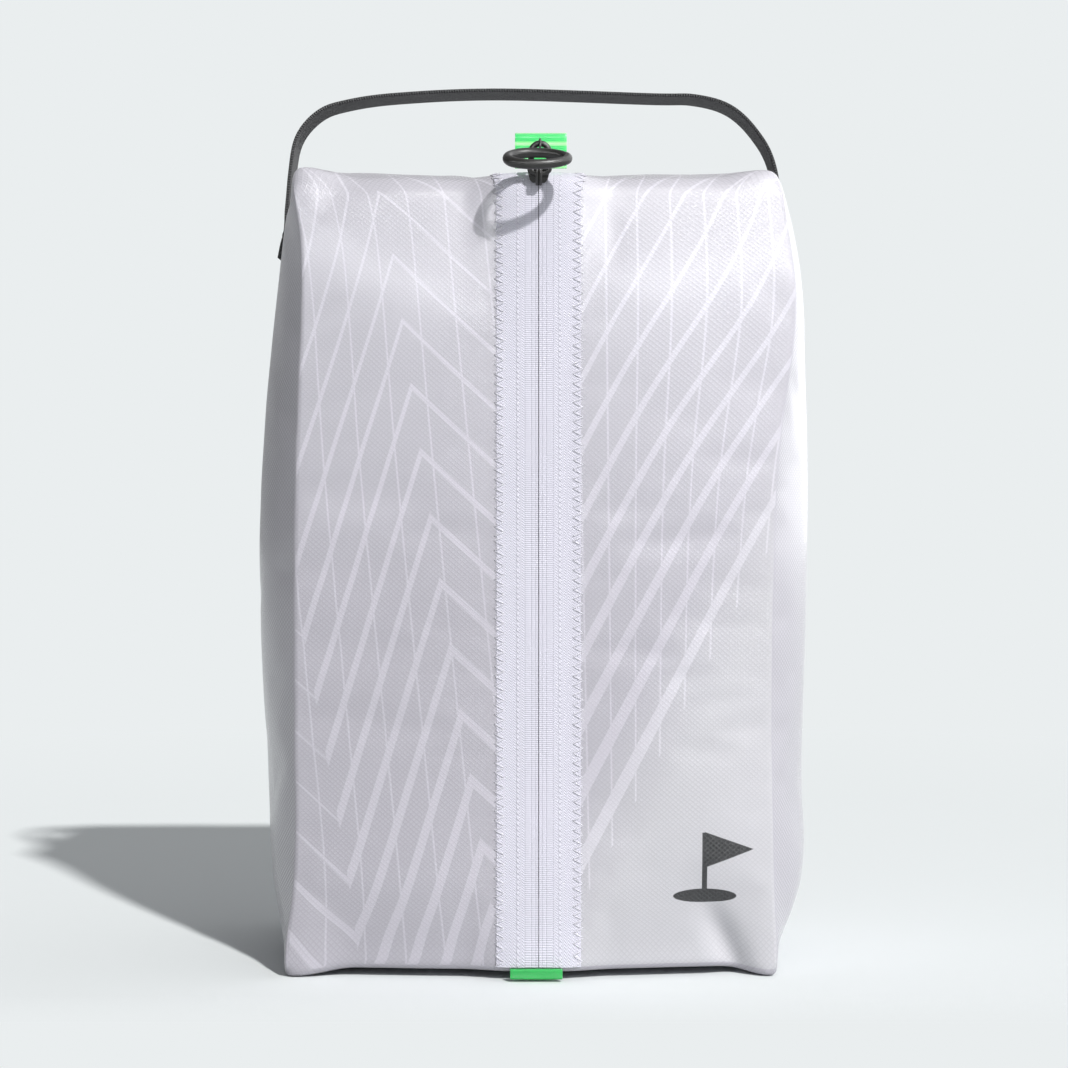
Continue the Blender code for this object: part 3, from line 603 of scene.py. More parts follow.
def soften(points):
    """Moves the even shape to the sag, leans, dents and seam lines of the stuffed bag."""
    x, y, z = points.T.copy()
    zip_off = np.abs(x - ZIP_X)
    free = smooth(0.010, 0.034, zip_off)
    front = smooth(0.0, SEAM_Y, y)
    right, left = smooth(0.03, SEAM_X, x), smooth(-0.03, -SEAM_X, x)
    # The front seams wave sideways, and the sides stand out low down.
    seam_right = 0.0100 * hump(0.290, 0.055, z) - 0.0004 * hump(0.125, 0.050, z)
    seam_right += 0.0022 * hump(0.0, 0.025, z)
    seam_left = 0.0028 * hump(0.300, 0.060, z) - 0.0050 * hump(0.0, 0.030, z) - 0.0042 * hump(0.348, 0.020, z)
    x += front * (right * seam_right + left * seam_left)
    aside = smooth(0.85, 1.0, np.abs(x) / SEAM_X) * smooth(SEAM_Y, -0.030, y) * smooth(BACK_SEAM_Y, 0.030, y)
    x += np.sign(x) * aside * (0.0033 + 0.0030 * right) * hump(0.038, 0.034, z) * smooth(0.004, 0.020, z)
    # The foot slumps between its corners, and the top corners rise.
    rim = np.maximum(np.abs(x) / SEAM_X, np.abs(y) / -SEAM_Y)
    corner = smooth(0.76, 0.99, np.minimum(np.abs(x) / SEAM_X, np.abs(y) / -SEAM_Y))
    z -= 0.0036 * smooth(0.020, 0.006, z) * smooth(0.0, 0.006, z)
    z += 0.0026 * (1 - corner) * smooth(0.6, 0.98, rim) * smooth(0.040, 0.004, z)
    z += (0.0038 + 0.0018 * left) * corner * front * smooth(0.325, 0.345, z)
    # The front leans back at the shoulders and the foot, with shallow dents and one fold at the right.
    shoulder = np.clip((z - 0.247 - 0.042 * np.abs(x) / SEAM_X) / 0.085, 0, 1.0) ** 1.8
    y += 0.0082 * shoulder * free * front
    y += 0.0045 * smooth(0.045, 0.0, z) * (1 - corner) * free * front
    y += front * free * (0.0030 * hump(0.075, 0.032, x) * hump(0.020, 0.035, z))
    y += front * free * 0.0022 * hump(-0.055, 0.030, x) * hump(0.165, 0.075, z)
    y -= front * free * 0.0016 * hump(0.060, 0.035, x) * hump(0.110, 0.060, z)
    fold = hump(0.0, 0.0058, (x - 0.074) - (0.034 - z) * 0.45) * smooth(0.045, 0.012, z)
    y += front * 0.0055 * fold
    # The cloth is lumpy, most of all on the sides and back.
    broad = lumps(x / 0.046 + z * 4.0, y / 0.030 + 3.0, z / 0.120)
    close = lumps(x / 0.017 + 7.0, y / 0.017, z / 0.022)
    near_seam = hump(0.0, 0.014, np.abs(np.abs(x) - SEAM_X)) * front + hump(0.018, 0.010, zip_off) * front
    lift = 0.0011 * (2.6 - 1.6 * front) * broad + (0.00012 + 0.0002 * near_seam) * close
    lift = lift * np.maximum(free, 1 - front) * smooth(0.0, 0.02, z)
    return np.stack([x, y, z], 1) + outwards(points) * lift[:, None]


def outwards(points):
    """Rough outward directions: away from an upright bar in the middle of the bag."""
    core = np.clip(points, [-0.060, -0.020, 0.050], [0.060, 0.020, 0.300])
    away = points - core
    return away / np.linalg.norm(away, axis=1)[:, None]


# The cloth of the shell, settled under a little pressure

CLOTH_FRAMES = 18
CLOTH = {
    "quality": 5, "mass": 0.2, "air_damping": 2.0, "use_pressure": True, "uniform_pressure_force": 1.6,
    "tension_stiffness": 40, "compression_stiffness": 12, "shear_stiffness": 6, "bending_stiffness": 1.6,
    "vertex_group_mass": "sewn", "vertex_group_shrink": "slack", "shrink_min": -0.0008, "shrink_max": -0.01,
}
MOST_SETTLING = 0.0050


def held(column, row, level, point):
    """How firmly a lattice point stays put: 1 at the sewn corners, the zip and the base, 0 on open cloth."""
    corner = column in (0, COLUMNS) and row in (0, DEEP)
    if corner or level < 1:
        return 1.0
    at_zip = float(smooth(0.026, 0.011, abs(point[0] - ZIP_X))) if point[1] < -0.035 else 0.0
    low = float(smooth(WALL_BOTTOM + 0.012, WALL_BOTTOM, point[2]))
    return max(at_zip, low)


def settle(number, points):
    """Runs the shell as cloth cut slightly too large for its seams, so that it swells a little."""
    obj = link_object("settling_shell", shell_mesh(number, points, mouth=False))
    sewn, slack = obj.vertex_groups.new(name="sewn"), obj.vertex_groups.new(name="slack")
    for key, index in number.items():
        sewn.add([index], held(*key, points[index]), "REPLACE")
        slack.add([index], float(smooth(SEAM_Y, SEAM_Y + 0.010, points[index][1])), "REPLACE")
    cloth = obj.modifiers.new("cloth", "CLOTH")
    for name, value in CLOTH.items():
        setattr(cloth.settings, name, value)
    cloth.settings.effector_weights.gravity = 0.0
    cloth.collision_settings.use_collision = False
    cloth.point_cache.frame_end = CLOTH_FRAMES
    scene = bpy.context.scene
    for step in range(1, CLOTH_FRAMES + 1):
        scene.frame_set(step)
    result = obj.evaluated_get(bpy.context.evaluated_depsgraph_get()).data
    change = vectors_of(result.vertices, "co") - points
    scene.frame_set(1)
    bpy.data.objects.remove(obj)
    length = np.linalg.norm(change, axis=1)
    limit = MOST_SETTLING * np.tanh(length / MOST_SETTLING) / np.maximum(length, 1e-9)
    return points + change * limit[:, None]


PATCHES = ["body", "left_upper", "left_lower", "right_upper", "right_lower", "top", "base"]


def front_patch(column, level):
    side = "left" if column < HALF_COLUMNS else "right"
    return side + ("_upper" if level_z(level + 0.5) > FLAP_MIDDLE else "_lower")


def lattice_faces(number, mouth=True):
    """Each face's corners, patch and flat places. mouth leaves the zip's slot open."""
    found = []

    def add(a, b, key, patch, flat, turned=False):
        keys = [key(*corner) for corner in ((a, b), (a + 1, b), (a + 1, b + 1), (a, b + 1))]
        keys = keys[::-1] if turned else keys
        found.append(([number[key] for key in keys], PATCHES.index(patch), [flat(*key) for key in keys]))

    over_top = lambda column, row, level: (column_x(column), WALL_TOP + row * CAP_STEP)
    upright = lambda column, row, level: (column_x(column), level_z(level))
    along_side = lambda column, row, level: (depth_y(row) + copysign(0.2, column - 1), level_z(level))
    along_back = lambda column, row, level: (0.4 - column_x(column), level_z(level))
    under = lambda column, row, level: (column_x(column), WALL_BOTTOM - (row + 1) * CAP_STEP)
    for column in range(COLUMNS):
        for level in range(LEVELS):
            if not (mouth and column in MOUTH_COLUMNS and level_z(level) > MOUTH_BOTTOM):
                add(column, level, lambda c, k: (c, 0, k), front_patch(column, level), upright)
            add(column, level, lambda c, k: (c, DEEP, k), "body", along_back, turned=True)
    for row in range(DEEP):
        for level in range(LEVELS):
            add(row, level, lambda r, k: (COLUMNS, r, k), "body", along_side)
            add(row, level, lambda r, k: (0, r, k), "body", along_side, turned=True)
    for column in range(COLUMNS):
        for row in range(DEEP):
            if not (mouth and column in MOUTH_COLUMNS and row == 0):
                add(column, row, lambda c, r: (c, r, LEVELS), "top", over_top)
            add(column, row, lambda c, r: (c, r, 0), "base", under, turned=True)
    return found


class Front:
    """The outside of the front cloth and of the top's front edge, measured on the flat."""

    def __init__(self, number, points):
        lines = [(0, level) for level in range(LEVELS + 1)] + [(row, LEVELS) for row in range(1, 9)]
        rows = [[number[(column, row, level)] for column in range(COLUMNS + 1)] for row, level in lines]
        self.places = points[np.array(rows)]
        self.heights = [level_z(level) + row * CAP_STEP for row, level in lines]
        self.columns = [column_x(column) for column in range(COLUMNS + 1)]

    def on_cloth(self, x, height):
        column = np.clip(np.interp(x, self.columns, range(COLUMNS + 1)), 0, COLUMNS - 1e-6)
        row = np.clip(np.interp(height, self.heights, range(len(self.heights))), 0, len(self.heights) - 1.001)
        return middle_of(self.places, row, column)

    def place(self, x, height, lift=0.0):
        """The point this far outside the cloth."""
        here = self.on_cloth(x, height)
        step = 0.0018
        along = self.on_cloth(x + step, height) - self.on_cloth(x - step, height)
        up = self.on_cloth(x, height + step) - self.on_cloth(x, height - step)
        out = np.cross(along, up)
        return Vector(here + out / np.linalg.norm(out) * lift)


class Side:
    """The outside of one side cloth: how far out it stands at each depth and height."""

    def __init__(self, number, points, column):
        levels = [[number[(column, row, level)] for row in range(DEEP + 1)] for level in range(LEVELS + 1)]
        self.reach = np.abs(points[np.array(levels)][:, :, 0])

    def x(self, y, z):
        row = float(np.clip((y - SEAM_Y) / (BACK_SEAM_Y - SEAM_Y) * DEEP, 0, DEEP - 1e-6))
        return middle_of(self.reach, float(np.clip(level_at(z), 0, LEVELS - 1e-6)), row)


def shell_mesh(number, points, mouth=True):
    mesh = bpy.data.meshes.new("shell")
    faces = lattice_faces(number, mouth)
    mesh.from_pydata([tuple(point) for point in points], [], [corners for corners, _, _ in faces])
    layer = mesh.uv_layers.new(name="flat")
    places = [flat for _, _, flats in faces for flat in flats]
    layer.data.foreach_set("uv", np.array(places, np.float32).ravel())
    patch = mesh.attributes.new("patch", "INT", "FACE")
    patch.data.foreach_set("value", np.array([code for _, code, _ in faces], np.int32))
    mesh.shade_smooth()
    return mesh


def crease_seams(mesh, number):
    """The sewn corners stay crisp when the shell is subdivided."""
    lines = {
        frozenset((number[(column, row, level)], number[(column, row, level + 1)]))
        for column in (0, COLUMNS) for row in (0, DEEP) for level in range(LEVELS)
    }
    values = [0.75 if frozenset(edge.vertices) in lines else 0.0 for edge in mesh.edges]
    mesh.attributes.new("crease_edge", "FLOAT", "EDGE").data.foreach_set("value", values)


def applied(obj):
    """The object's mesh, with its modifiers applied to it."""
    graph = bpy.context.evaluated_depsgraph_get()
    obj.data = bpy.data.meshes.new_from_object(obj.evaluated_get(graph))
    obj.modifiers.clear()
    return obj.data


def subdivided(obj):
    step = obj.modifiers.new("fine", "SUBSURF")
    step.levels = step.render_levels = 1
    step.boundary_smooth = "PRESERVE_CORNERS"
    step.uv_smooth = "NONE"
    return applied(obj)


def cut_patch(shell, patch, name, material):
    """A copy of one patch of the shell."""
    mesh = shell.copy()
    bm = bmesh.new()
    bm.from_mesh(mesh)
    code = bm.faces.layers.int["patch"]
    others = [face for face in bm.faces if face[code] != PATCHES.index(patch)]
    bmesh.ops.delete(bm, geom=others, context="FACES")
    bmesh.ops.delete(bm, geom=[vert for vert in bm.verts if not vert.link_faces], context="VERTS")
    bm.to_mesh(mesh)
    bm.free()
    mesh.normals_split_custom_set_from_vertices(vectors_of(mesh.attributes["whole_normal"].data, "vector"))
    mesh.materials.clear()
    return link_object(name, mesh, material)


def open_with_flap(piece):
    """Bakes the piece's transform into its mesh."""
    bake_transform(piece)


def build_shell(number, points):
    """The seven pieces of cloth. Each keeps the normals of the whole, so that no cut shows."""
    helper = link_object("shell_helper", shell_mesh(number, points))
    crease_seams(helper.data, number)
    fine = subdivided(helper)
    normals = vectors_of(fine.vertex_normals, "vector")
    kept = fine.attributes.new("whole_normal", "FLOAT_VECTOR", "POINT")
    kept.data.foreach_set("vector", normals.ravel())
    printed, plain = shell_fabric("printed_ripstop", True), shell_fabric("plain_ripstop", False)
    for patch, name, look, *nodes in (
        ("body", "side_and_back_cloth", plain, "left_side_panel", "right_side_panel", "back_panel"),
        ("top", "top_cloth", printed, "top_panel"),
        ("base", "base_cloth", plain, "base_panel"),
    ):
        finish_piece(cut_patch(fine, patch, name, look), "shell_fabric", *nodes, body="root")
    for side, *badge in (("left",), ("right", "front_badge")):
        for half in ("upper", "lower"):
            piece = cut_patch(fine, side + "_" + half, side + "_front_cloth_" + half, printed)
            open_with_flap(piece)
            finish_piece(piece, "shell_fabric", "front_" + side + "_panel", *badge)
    bpy.data.objects.remove(helper)


# Zip

TAPE_REST = 0.00030
TAPE_EDGE_REST = 0.00004
TAPE_THICK = 0.00045
TAPE_HALF = TAPE_HIGH.x - ZIP_X
SLOT_HALF = 0.00016
TAPE_LOWEST = 0.0066
TAPE_HIGHEST = WALL_TOP + 0.019


def zip_heights(half, step):
    low, high = (FLAP_MIDDLE, TAPE_HIGHEST) if half == "upper" else (TAPE_LOWEST, FLAP_MIDDLE)
    count = round((high - low) / step)
    return [low + (high - low) * index / count for index in range(count + 1)]


def tape_rest(x):
    """The tape clears the teeth at its middle and lies on the cloth at its outer edge."""
    return TAPE_EDGE_REST + (TAPE_REST - TAPE_EDGE_REST) * float(smooth(0.012, 0.006, abs(x - ZIP_X)))


def tape_form(front, sign, half):
    """One length of one woven tape, thick at its edges, lying on the cloth."""
    inner, outer = ZIP_X + sign * SLOT_HALF, ZIP_X + sign * TAPE_HALF
    across = [inner + (outer - inner) * index / 10 for index in range(11)]
    rows, flats = [], []
    for height in zip_heights(half, 0.003):
        face = [front.place(x, height, tape_rest(x) + TAPE_THICK) for x in across]
        back = [front.place(x, height, tape_rest(x)) for x in reversed(across)]
        rows.append(face + back)
        flats.append([(x, height) for x in across] + [(x, height) for x in reversed(across)])
    return Form().rings(rows, flats, turned=sign < 0)


def seam_form(front, sign, half):
    """The zig-zag seam along the tape's outer edge, dipping where each stitch enters the cloth."""
    centre = ZIP_X + sign * (TAPE_HALF - 0.0012)
    pitch = 0.0041
    heights = zip_heights(half, pitch / 2)
    path = []
    for index in range(len(heights) - 1):
        swing = 0.0021 if index % 2 else -0.0021
        for step in range(6):
            share = step / 6
            x = centre + swing * (1 - 2 * share)
            height = heights[index] + (heights[index + 1] - heights[index]) * share
            on_tape = abs(x - ZIP_X) < TAPE_HALF
            rise = 0.00016 * sin(pi * share) + (TAPE_EDGE_REST + TAPE_THICK if on_tape else 0.0)
            path.append(front.place(x, height, rise - 0.00002))
    return Form().tube(path, 0.00031, 6)


def coil_form(side, sign, half):
    """The row of nylon loops behind one tape."""
    low = max(0.036, zip_heights(half, 0.01)[0])
    high = min(FLAP_TOP, zip_heights(half, 0.01)[-1])
    pitch = 0.0016
    turns = int((high - low) / pitch)
    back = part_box(side + "_zip_coil")
    middle_y, depth = (back[0].y + back[1].y) / 2, (back[1].y - back[0].y) / 2 - 0.0003
    path = []
    for index in range(turns * 10):
        turn = 2 * pi * index / 10
        reach = 0.00150 + 0.00120 * cos(turn)
        path.append((ZIP_X + sign * reach, middle_y + depth * sin(turn), low + pitch * index / 10))
    return Form().tube(path, 0.00028, 5)


def build_zip(front):
    tape, thread, coil = tape_fabric(), thread_look("white_thread", (0.80, 0.785, 0.86)), coil_look()
    for side, sign in (("left", -1), ("right", 1)):
        for half, end in (("upper", "zip_top_tape_end"), ("lower", "zip_bottom_tape_end")):
            for form, kind, look, slot, *nodes in (
                (tape_form(front, sign, half), "tape", tape, "zip_tape", side + "_zip_tape", end),
                (seam_form(front, sign, half), "edge_seam", thread, "white_thread", side + "_zip_stitch"),
                (coil_form(side, sign, half), "coil", coil, "zip_coil", side + "_zip_coil"),
            ):
                piece = form.build(side + "_" + kind + "_" + half, look)
                if kind == "tape":
                    piece.data.set_sharp_from_angle(angle=SHARP)
                open_with_flap(piece)
                finish_piece(piece, slot, *nodes)


# Slider, link and ring

def bevelled(obj, width):
    step = obj.modifiers.new("soft_edges", "BEVEL")
    step.width = width
    step.segments = 2
    step.limit_method = "ANGLE"
    step.angle_limit = radians(35)
    applied(obj).shade_smooth()
    obj.data.set_sharp_from_angle(angle=radians(40))
    return obj


def slab(form, outline, near, far):
    """An outline of (x, z) points given a thickness in Y."""
    form.rings([[(x, y, z) for x, z in outline] for y in (near, far)], [outline, outline], turned=True)


def make_slider(look):
    low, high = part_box("zip_slider")
    pivot = JOINT["link_swing"]
    plate_back = TAPE_LOW.y - 0.0003
    plate_front = plate_back - 0.0012
    bottom, top = pivot.z - 0.0036, high.z
    wide = high.x - ZIP_X
    narrow = wide - 0.0011
    right = [(narrow - 0.0012, bottom), (narrow, bottom + 0.0012), (wide, top - 0.0022), (wide - 0.0016, top)]
    outline = [(ZIP_X + x, z) for x, z in right] + [(ZIP_X - x, z) for x, z in reversed(right)]
    form = Form()
    slab(form, outline, plate_front, plate_back)
    neck = [(-1, 0.0002), (1, 0.0002), (1, 0.0014), (-1, 0.0014)]
    slab(form, [(ZIP_X + sign * 0.0001, bottom + up) for sign, up in neck], plate_back, high.y - 0.0002)
    under = [(-0.0042, 0.001), (-0.0030, 0), (0.0030, 0), (0.0042, 0.001)]
    under += [(0.0042, 0.0080), (0.0034, 0.0090), (-0.0034, 0.0090), (-0.0042, 0.0080)]
    slab(form, [(ZIP_X + x, low.z + up) for x, up in under], high.y - 0.0010, high.y)
    slider = bevelled(form.build("slider_body", look, flat_shaded=True), 0.00028)
    finish_piece(slider, "black_plastic", "zip_slider", body="slider")
    bridge = Form()
    middle = pivot.z + 0.0001
    turns = [-pi / 2 + pi * index / 16 for index in range(17)]
    arch = [(ZIP_X, plate_front + 0.0006 - 0.0059 * cos(t), middle + 0.00425 * sin(t)) for t in turns]
    for aside in (-0.00075, 0.00075):
        bridge.tube([(x + aside, y, z) for x, y, z in arch], 0.00068, 10)
    arch_piece = bridge.build("slider_bridge", look)
    finish_piece(arch_piece, "black_plastic", body="slider")


def make_link(look):
    pivot = JOINT["link_swing"]
    half, foot, height = 0.0038, 0.0020, JOINT["ring_swing"].z - pivot.z
    path = []
    for turn in around(40):
        rise = foot + foot * sin(turn) if sin(turn) < 0 else height - half + half * sin(turn)
        path.append(pivot + Vector((half * cos(turn), 0, rise)))
    link = Form().tube(path, 0.0013, 12, closed=True).build("pull_link_wire", look)
    finish_piece(link, "black_plastic", "pull_link", body="link")


def make_ring(look):
    """The oval finger ring, fuller at its left end, and the eye that holds it on the link."""
    pivot = JOINT["ring_swing"]
    far_side = Vector((-0.001, -0.0040, -0.00465))
    droop = radians(27.5)
    forward = Vector((0, -cos(droop), -sin(droop)))
    centre = pivot + far_side + forward * 0.008
    path, radii = [], []
    for turn in around(72):
        fuller = 1 - 0.10 * cos(turn)
        reach = forward * 0.008 * fuller * sin(turn)
        path.append(centre + Vector((0.0126 * cos(turn), 0, 0)) + reach)
        radii.append(0.00212 - 0.00013 * cos(turn))
    form = Form().tube(path, radii, 16, closed=True)
    lean = atan2(far_side.z, far_side.y)
    eye = []
    for turn in around(32):
        reach = 0.0018 + 0.0030 * max(0, cos(turn - lean)) ** 2
        eye.append(pivot + Vector((0, reach * cos(turn), reach * sin(turn))))
    ring = form.tube(eye, 0.0005, 10, closed=True).build("finger_ring", look)
    finish_piece(ring, "black_plastic", "pull_ring", body="ring")


# Straps and tabs

def ribbon(path, half_width, thickness, place):
    """A flat band along a path of (along, up) points, with rounded edges. place turns each into space."""
    across = [half_width * share for share in (-1, -0.985, -0.94, -0.6, -0.2, 0.2, 0.6, 0.94, 0.985, 1)]
    rise = [thickness / 2 * share for share in (0.35, 0.85, 1, 1, 1, 1, 1, 1, 0.85, 0.35)]
    loop = list(zip(across, rise)) + [(a, -r) for a, r in zip(reversed(across), reversed(rise))]
    travelled = 0
    rows, flats = [], []
    for index, point in enumerate(path):
        before, after = path[max(0, index - 1)], path[min(len(path) - 1, index + 1)]
        along = Vector((after[0] - before[0], after[1] - before[1])).normalized()
        normal = Vector((-along.y, along.x))
        if index:
            travelled += (Vector(point) - Vector(path[index - 1])).length
        here = lambda lift: (point[0] + normal.x * lift, point[1] + normal.y * lift)
        rows.append([place(here(lift), aside) for aside, lift in loop])
        flats.append([(aside, travelled) for aside, _ in loop])
    return Form().rings(rows, flats, turned=True)


def rounded_path(corners, count=140):
    """A smooth curve through the corners, sampled evenly."""
    ends = [corners[0], *corners, corners[-1]]
    fine = []
    for before, start, end, after in zip(ends, ends[1:], ends[2:], ends[3:]):
        for index in range(24):
            t = index / 24
            fine.append(tuple(
                0.5 * (2 * b + (c - a) * t + (2 * a - 5 * b + 4 * c - d) * t * t
                       + (3 * b - a - 3 * c + d) * t**3)
                for a, b, c, d in zip(before, start, end, after)
            ))
    fine.append(tuple(corners[-1]))
    lengths = [0.0]
    for before, after in zip(fine, fine[1:]):
        lengths.append(lengths[-1] + dist(before, after))
    marks = [lengths[-1] * index / count for index in range(count + 1)]
    return list(zip(*[np.interp(marks, lengths, [point[axis] for point in fine]) for axis in range(2)]))


def make_handle(sides, look, thread):
    """One strap, sewn flat to both sides of the bag and free between them."""
    low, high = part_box("carry_handle")
    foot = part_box("left_handle_end")[0].z
    thick = high.z - 0.0008
    width = (high.y - low.y) / 2
    lie = 0.0009
    leave = WALL_TOP - 0.008
    heights = (foot, (foot + leave) / 2, leave)
    feet = {side: [(cloth.x(0.0, z) + lie, z) for z in heights] for side, cloth in sides.items()}
    left = [(-x, z) for x, z in feet["left"]]
    left += [(-0.1118, 0.3560), (-0.1085, 0.3730), (-0.0990, 0.3842), (-0.0860, 0.3890), (-0.0620, 0.3923)]
    right = [(0.0540, 0.3920), (0.0740, 0.3915), (0.0900, 0.3868), (0.1020, 0.3755), (0.1100, 0.3600)]
    right += feet["right"][::-1]
    path = rounded_path(left + [(-0.0160, thick)] + right)

    def on_bag(point, aside):
        x, z = point
        side = sides["right" if x > 0 else "left"]
        curve = side.x(aside, z) - side.x(0.0, z)
        return Vector((x + copysign(curve * smooth(0.350, 0.334, z), x), aside, z))

    strap = ribbon(path, width, 0.0016, on_bag).build("handle_strap", look)
    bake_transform(strap)
    finish_piece(strap, "webbing", "carry_handle", "left_handle_end", "right_handle_end")
    for side, sign in (("left", -1), ("right", 1)):
        make_box_stitch(side, sign, sides[side], foot, leave, width, lie + 0.0008, thread)


def make_box_stitch(side, sign, cloth, foot, leave, width, lift, thread):
    """The sewn box with a cross in it that holds one end of the strap."""
    half, low, high = width - 0.0022, foot + 0.0022, leave - 0.001
    corners = [(-half, low), (half, low), (half, high), (-half, high), (-half, low)]
    corners += [(half, high), (half, low), (-half, high)]
    form = Form()
    for start, end in zip(corners, corners[1:]):
        count = max(3, round(dist(start, end) / 0.0026))
        for index in range(count):
            path = []
            for step in range(5):
                share = (index + 0.08 + 0.84 * step / 4) / count
                y = start[0] + (end[0] - start[0]) * share
                z = start[1] + (end[1] - start[1]) * share
                bow = 0.00018 * sin(pi * step / 4)
                path.append((sign * (cloth.x(y, z) + lift + bow), y, z))
            form.tube(path, 0.00026, 6)
    seam = form.build(side + "_strap_stitches", thread)
    finish_piece(seam, "webbing", side + "_handle_stitch", body="root")


def make_tab(name, node, body, joint, look, down):
    """A strip of film folded into a loop: its two layers meet at the foot."""
    low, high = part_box(node)
    pivot = JOINT[joint]
    height = (pivot.z - low.z if down else high.z - pivot.z) - 0.0004
    bulge = (high.y - low.y) / 2 - 0.0004
    centre_y = (low.y + high.y) / 2
    layer = 0.0006
    top = height - bulge
    path = [(-layer, -0.0004), (-layer, top * 0.25), (-bulge * 0.9, top * 0.7)]
    turns = [pi * index / 12 for index in range(13)]
    path += [(-bulge * cos(turn), top + bulge * sin(turn)) for turn in turns]
    path += [(bulge * 0.9, top * 0.7), (layer, top * 0.25), (layer, -0.0004)]
    sign = -1 if down else 1
    middle = (low.x + high.x) / 2
    place = lambda point, aside: Vector((middle + aside, centre_y + point[0], pivot.z + sign * point[1]))
    tab = ribbon(rounded_path(path, 60), (high.x - low.x) / 2, 0.0006, place).build(name, look)
    finish_piece(tab, "green_film", node, body=body)


# Inside trim

def make_corner_binding(number, points, name, column, row, look):
    """The bound seam allowance of one corner, following its waves. A front one lies flat behind the front
    cloth, so it closes the seam when that cloth swings. A back one stands inwards."""
    low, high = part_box(name)
    side, in_front = (-1 if column == 0 else 1), row == 0
    direction = Vector((-side * 0.96, 0.28, 0)) if in_front else Vector((-side * 0.58, -0.81, 0))
    root, width = (Vector((-side * 0.0012, 0.0012, 0)), 0.0110) if in_front else (direction * 0.0016, 0.0069)
    across = Vector((direction.y, -direction.x, 0))
    rows, flats = [], []
    for level in range(LEVELS + 1):
        seam = Vector(points[number[(column, row, level)]])
        if not low.z <= seam.z <= high.z:
            continue
        near, far = seam + root, seam + root + direction * width
        ripple = across * 0.0004 * sin(seam.z / 0.011)
        loop = [near - across * 0.0005, far + ripple - across * 0.0005, far + ripple + across * 0.0005]
        loop.append(near + across * 0.0005)
        rows.append(loop)
        flats.append([(0, seam.z), (0.007, seam.z), (0.008, seam.z), (0.015, seam.z)])
    strip = Form().rings(rows, flats).build(name + "_tape", look)
    strip.data.set_sharp_from_angle(angle=SHARP)
    finish_piece(strip, "seam_binding", name, body="root")


def make_piping(number, points, name, look):
    """The bound seam edge round the sides and back, just inside the cloth."""
    low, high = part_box(name)
    level = round(level_at((low.z + high.z) / 2))
    ring = [(COLUMNS, row) for row in range(4, DEEP)] + [(column, DEEP) for column in range(COLUMNS, 0, -1)]
    ring += [(0, row) for row in range(DEEP, 3, -1)]
    path = []
    for column, row in ring:
        place = Vector(points[number[(column, row, level)]])
        path.append(place + Vector((-place.x, -place.y, 0)).normalized() * 0.0032)
    cord = Form().tube(path, 0.0012).build(name + "_cord", look)
    finish_piece(cord, "seam_binding", name, body="root")


def build_inside(number, points, binding, coil):
    for end, row in (("front", 0), ("back", DEEP)):
        for side, column in (("left", 0), ("right", COLUMNS)):
            make_corner_binding(number, points, side + "_" + end + "_binding", column, row, binding)
    make_piping(number, points, "top_seam_piping", binding)
    make_piping(number, points, "base_seam_piping", binding)
    for name in ("zip_bottom_stop", "zip_top_stop"):
        stop = frame["nodes"][name]
        stop.data.materials.clear()
        stop.data.materials.append(coil)


# Stage, light and camera

BACKDROP = (0.823, 0.855, 0.863, 1)
FLOOR_PAPER = (0.724, 0.753, 0.760, 1)
SKY = (0.97, 0.985, 1.0, 1)
SUN_TRAVEL = Vector((-200, 345, -350))


def make_floor():
    bm = bmesh.new()
    bmesh.ops.create_grid(bm, x_segments=2, y_segments=2, size=40)
    mesh = bpy.data.meshes.new("floor")
    bm.to_mesh(mesh)
    bm.free()
    made, tree = new_material("floor_paper")
    shader = tree.nodes["Principled BSDF"]
    set_inputs(tree, shader, {"Roughness": 1.0, "Specular IOR Level": 0.0})
    shader.inputs["Base Color"].default_value = FLOOR_PAPER
    glow = add_node(tree, "Emission")
    glow.inputs[0].default_value = BACKDROP
    place = add_node(tree, "NewGeometry").outputs["Position"]
    distance = add_node(tree, "VectorMath", place)
    distance.operation = "LENGTH"
    ahead = parts(tree, place)[1].below(-0.125, 0.05)
    far = Value(tree, distance.outputs["Value"]).above(0.85, 0.5).math("MAXIMUM", ahead)
    mix = add_node(tree, "MixShader", far.socket, shader.outputs[0], glow.outputs[0])
    tree.links.new(mix.outputs[0], tree.nodes["Material Output"].inputs["Surface"])
    floor = link_object("floor", mesh, made)
    floor.location.z = -0.0002


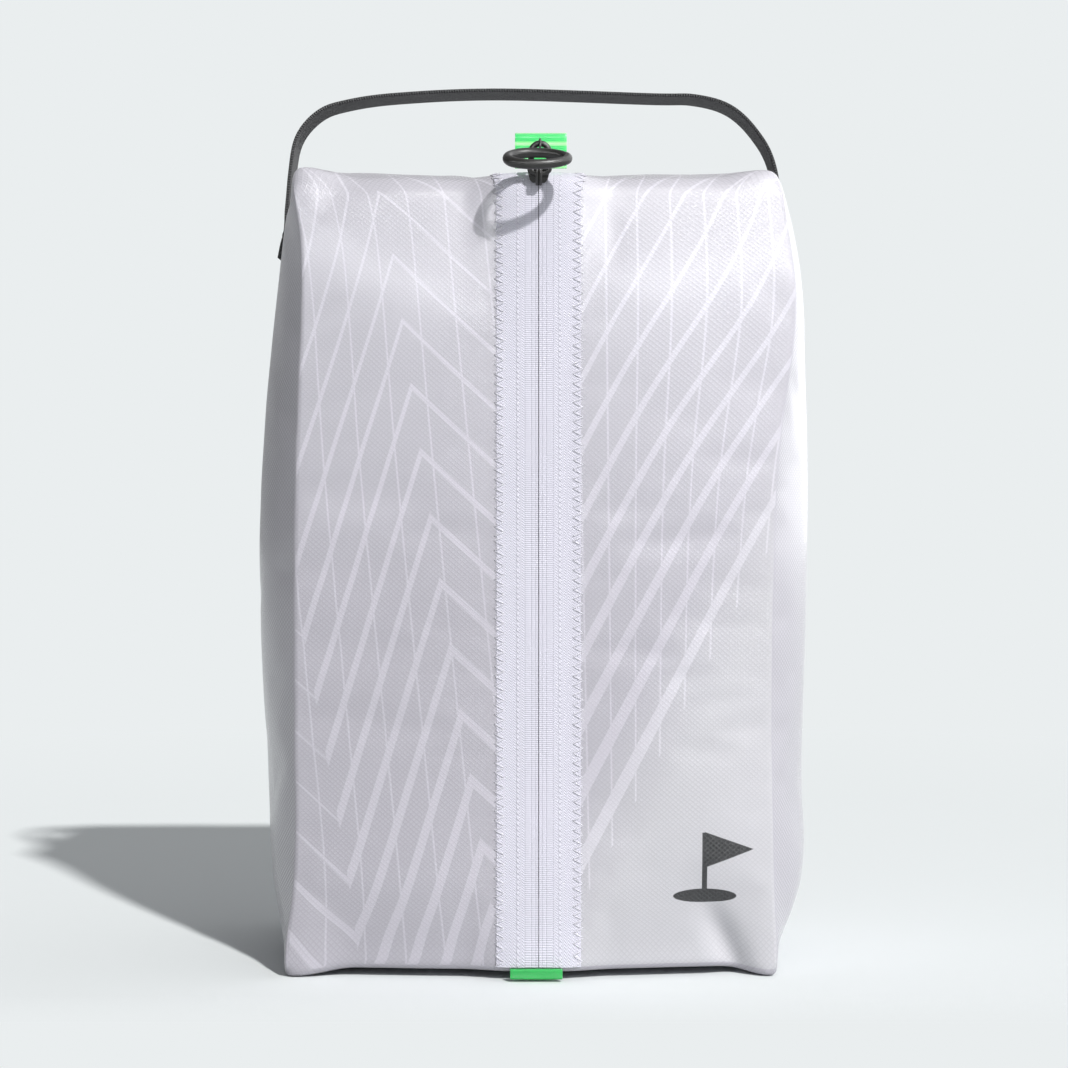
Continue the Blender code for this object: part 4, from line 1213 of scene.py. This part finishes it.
def make_world():
    """The camera sees the plain backdrop. Everything else is lit by a dimmer sky, a little brighter to the
    right and behind. A wide softbox and a narrow strip above the camera, and a panel at the right, show only
    in reflections."""
    world = bpy.data.worlds.new("studio")
    bpy.context.scene.world = world
    world.use_nodes = True
    tree = world.node_tree
    tree.nodes.clear()
    path = add_node(tree, "LightPath").outputs
    right, back, up = parts(tree, add_node(tree, "TexCoord").outputs["Generated"])
    softbox = up.above(0.34, 0.40) * up.below(0.86, 0.2) * (-back).above(0.2, 0.3) * right.above(-0.05, 0.6)
    strip = up.above(0.21, 0.03) * up.below(0.295, 0.03) * (-back).above(0.3, 0.2)
    beside = right.above(0.25, 0.3) * back.above(-0.35, 0.3)
    behind = back.above(0.3, 0.8) * 0.15
    shine = (softbox * 1.6 + strip * 13.0 + beside * 1.6) * Value(tree, path["Is Glossy Ray"])
    seen, ambient = add_node(tree, "Background"), add_node(tree, "Background")
    seen.inputs[0].default_value = BACKDROP
    ambient.inputs[0].default_value = SKY
    set_inputs(tree, ambient, {"Strength": right * 0.35 + 0.36 + behind + shine})
    mix = add_node(tree, "MixShader", path["Is Camera Ray"], ambient.outputs[0], seen.outputs[0])
    add_node(tree, "OutputWorld", mix.outputs[0])


def make_light():
    sun = bpy.data.lights.new("key", "SUN")
    sun.energy = 3.42
    sun.angle = radians(2.6)
    sun.color = (1.0, 0.995, 0.985)
    link_object("key", sun).rotation_euler = SUN_TRAVEL.to_track_quat("-Z", "Y").to_euler()


def make_camera():
    camera = bpy.data.cameras.new("camera")
    camera.lens, camera.sensor_width = 70, 36
    holder = link_object("camera", camera)
    holder.location = (0, -0.960, 0.191)
    holder.rotation_euler = (pi / 2, 0, 0)
    bpy.context.scene.camera = holder
    bpy.context.scene.view_settings.view_transform = "Standard"


def main():
    number, points = make_lattice()
    points = settle(number, soften(points))
    front = Front(number, points)
    build_shell(number, points)
    build_zip(front)
    black = black_plastic()
    make_slider(black)
    make_link(black)
    make_ring(black)
    sides = {"left": Side(number, points, 0), "right": Side(number, points, COLUMNS)}
    make_handle(sides, webbing_look(), thread_look("dark_thread", (0.05, 0.05, 0.052)))
    # Two copies of one film: the top tab's is painted lit, with more painted glow, and the bottom tab's is
    # painted in shade.
    film = green_film("green_film_lit", (0.05, 0.62, 0.17), (0.42, 0.95, 0.40), 0.28)
    shaded = green_film("green_film_shaded", (0.02, 0.50, 0.10), (0.05, 0.60, 0.14), 0.05)
    make_tab("top_film_loop", "top_pull_tab", "upper_tab", "upper_tab_flex", film, False)
    make_tab("bottom_film_loop", "bottom_pull_tab", "lower_tab", "lower_tab_flex", shaded, True)
    build_inside(number, points, binding_look(), coil_look())
    make_floor()
    make_world()
    make_light()
    make_camera()


main()
